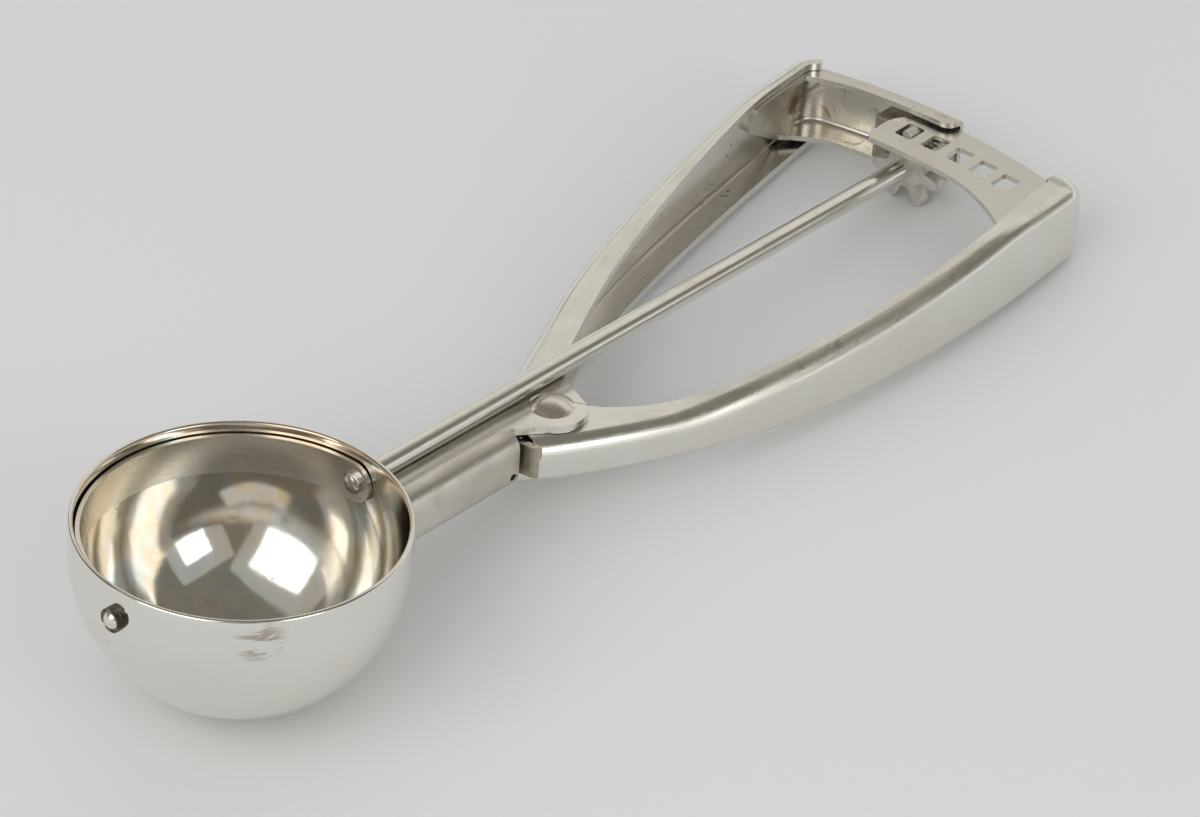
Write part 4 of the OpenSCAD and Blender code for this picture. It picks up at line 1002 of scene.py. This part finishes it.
# the room: white where the camera looks, a soft even light on everything, and in the metal a bright horizon
# under a dark warm ceiling
room = {"soft": 0.50, "softTint": (0.97, 0.98, 1.0), "horizon": (0.95, 0.95, 0.94), "ceiling": (0.20, 0.185, 0.155),
        "from": 0.04, "to": 0.40}
world = bpy.data.worlds.new("studio")
bpy.context.scene.world = world
world.use_nodes = True
world.node_tree.nodes.clear()
studio = Nodes(world.node_tree)
lookWay = studio.make("ShaderNodeTexCoord", {}, {}, "Generated")
upward = studio.make("ShaderNodeSeparateXYZ", {}, {0: lookWay}, "Z")
tone = studio.blend(studio.between(upward, room["from"], room["to"]), room["horizon"], room["ceiling"])
isCamera, isGlossy, isThrough = (studio.make("ShaderNodeLightPath", {}, {}, kind) for kind in
                                 ("Is Camera Ray", "Is Glossy Ray", "Is Transmission Ray"))
mirror = studio.make("ShaderNodeBackground", {}, {"Color": tone})
soft = studio.make("ShaderNodeBackground", {}, {"Color": opaque(room["softTint"]), "Strength": room["soft"]})
white = studio.make("ShaderNodeBackground", {}, {"Color": (1, 1, 1, 1)})
lit = studio.make("ShaderNodeMixShader", {}, {0: isGlossy.atLeast(isThrough), 1: soft, 2: mirror})
seen = studio.make("ShaderNodeMixShader", {}, {0: isCamera, 1: lit, 2: white})
studio.make("ShaderNodeOutputWorld", {}, {"Surface": seen})

lamps = {
    "key": {"at": (-0.90, -0.03, 0.81), "to": (-0.05, 0, 0), "size": (0.90, 0.72), "power": 2.9,
            "tint": (1, 0.99, 0.97)},
    "side": {"at": (-0.105, -1.007, 0.561), "to": (-0.05, 0, 0), "size": (0.46, 0.46), "power": 1.2,
             "tint": (1, 0.99, 0.975)},
    "panel": {"at": (1.13, 0.52, 0.92), "to": (0.05, 0, 0), "size": (2.2, 0.8), "power": 3.2,
              "tint": (1, 0.975, 0.94)},
    "keyGlow": {"at": (-1.08, 0.05, 0.96), "to": (-0.05, 0, 0), "size": (2.0, 1.7), "power": 2.6,
                "tint": (0.93, 0.97, 1)},
    "sideGlow": {"at": (-0.147, -1.176, 0.657), "to": (-0.05, 0, 0), "size": (1.15, 1.1), "power": 1.0,
                 "tint": (0.93, 0.97, 1)},
}
for name, lamp in lamps.items():
    light = bpy.data.lights.new(name, "AREA")
    light.shape = "RECTANGLE"
    light.size, light.size_y = lamp["size"]
    light.energy, light.color = lamp["power"], lamp["tint"]
    holder = newObject(name, light)
    holder.location = lamp["at"]
    holder.rotation_euler = (Vector(lamp["to"]) - Vector(lamp["at"])).to_track_quat("-Z", "Y").to_euler()

# the camera stands 0.8 m from the bowl, looking along the handles and down into the mouth; angles in radians, and
# the ball's centre is a point of the frame in pixels
shot = {"turn": 0.6831118, "down": 0.595860631, "roll": 0.075160988, "far": 800.0, "pixels": 4838.459,
        "ball": (241.140, 546.136), "frame": (1200, 817), "sensor": 36.0, "clip": (0.01, 20.0)}


def cameraPlace(s):
    # forward F from two angles, right R and up U turned by the roll, and the place that puts the ball's centre
    # on its point of the frame: C = -(x R + y U + far F)
    level = np.array([math.cos(s["turn"]), math.sin(s["turn"]), 0])
    forward = level * math.cos(s["down"]) + [0, 0, -math.sin(s["down"])]
    right = np.array([level[1], -level[0], 0])
    up = np.cross(right, forward)
    c, n = math.cos(s["roll"]), math.sin(s["roll"])
    right, up = c * right + n * up, c * up - n * right
    x = (s["ball"][0] - s["frame"][0] / 2) / s["pixels"] * s["far"]
    y = -(s["ball"][1] - s["frame"][1] / 2) / s["pixels"] * s["far"]
    return -(x * right + y * up + s["far"] * forward), right, up, forward


place, right, up, forward = cameraPlace(shot)
camera = newObject("camera", bpy.data.cameras.new("camera"))
camera.data.sensor_fit, camera.data.sensor_width = "HORIZONTAL", shot["sensor"]
camera.data.lens = shot["pixels"] / shot["frame"][0] * shot["sensor"]
camera.data.clip_start, camera.data.clip_end = shot["clip"]
axes = [Vector((q @ toolAxes).tolist()) for q in (right, up, -forward)]
camera.matrix_world = Matrix.Translation(Vector(toScene(place).tolist())) @ Matrix(axes).transposed().to_4x4()
bpy.context.scene.camera = camera
bpy.context.scene.view_settings.view_transform = "Standard"
print("stage, lights and camera done")
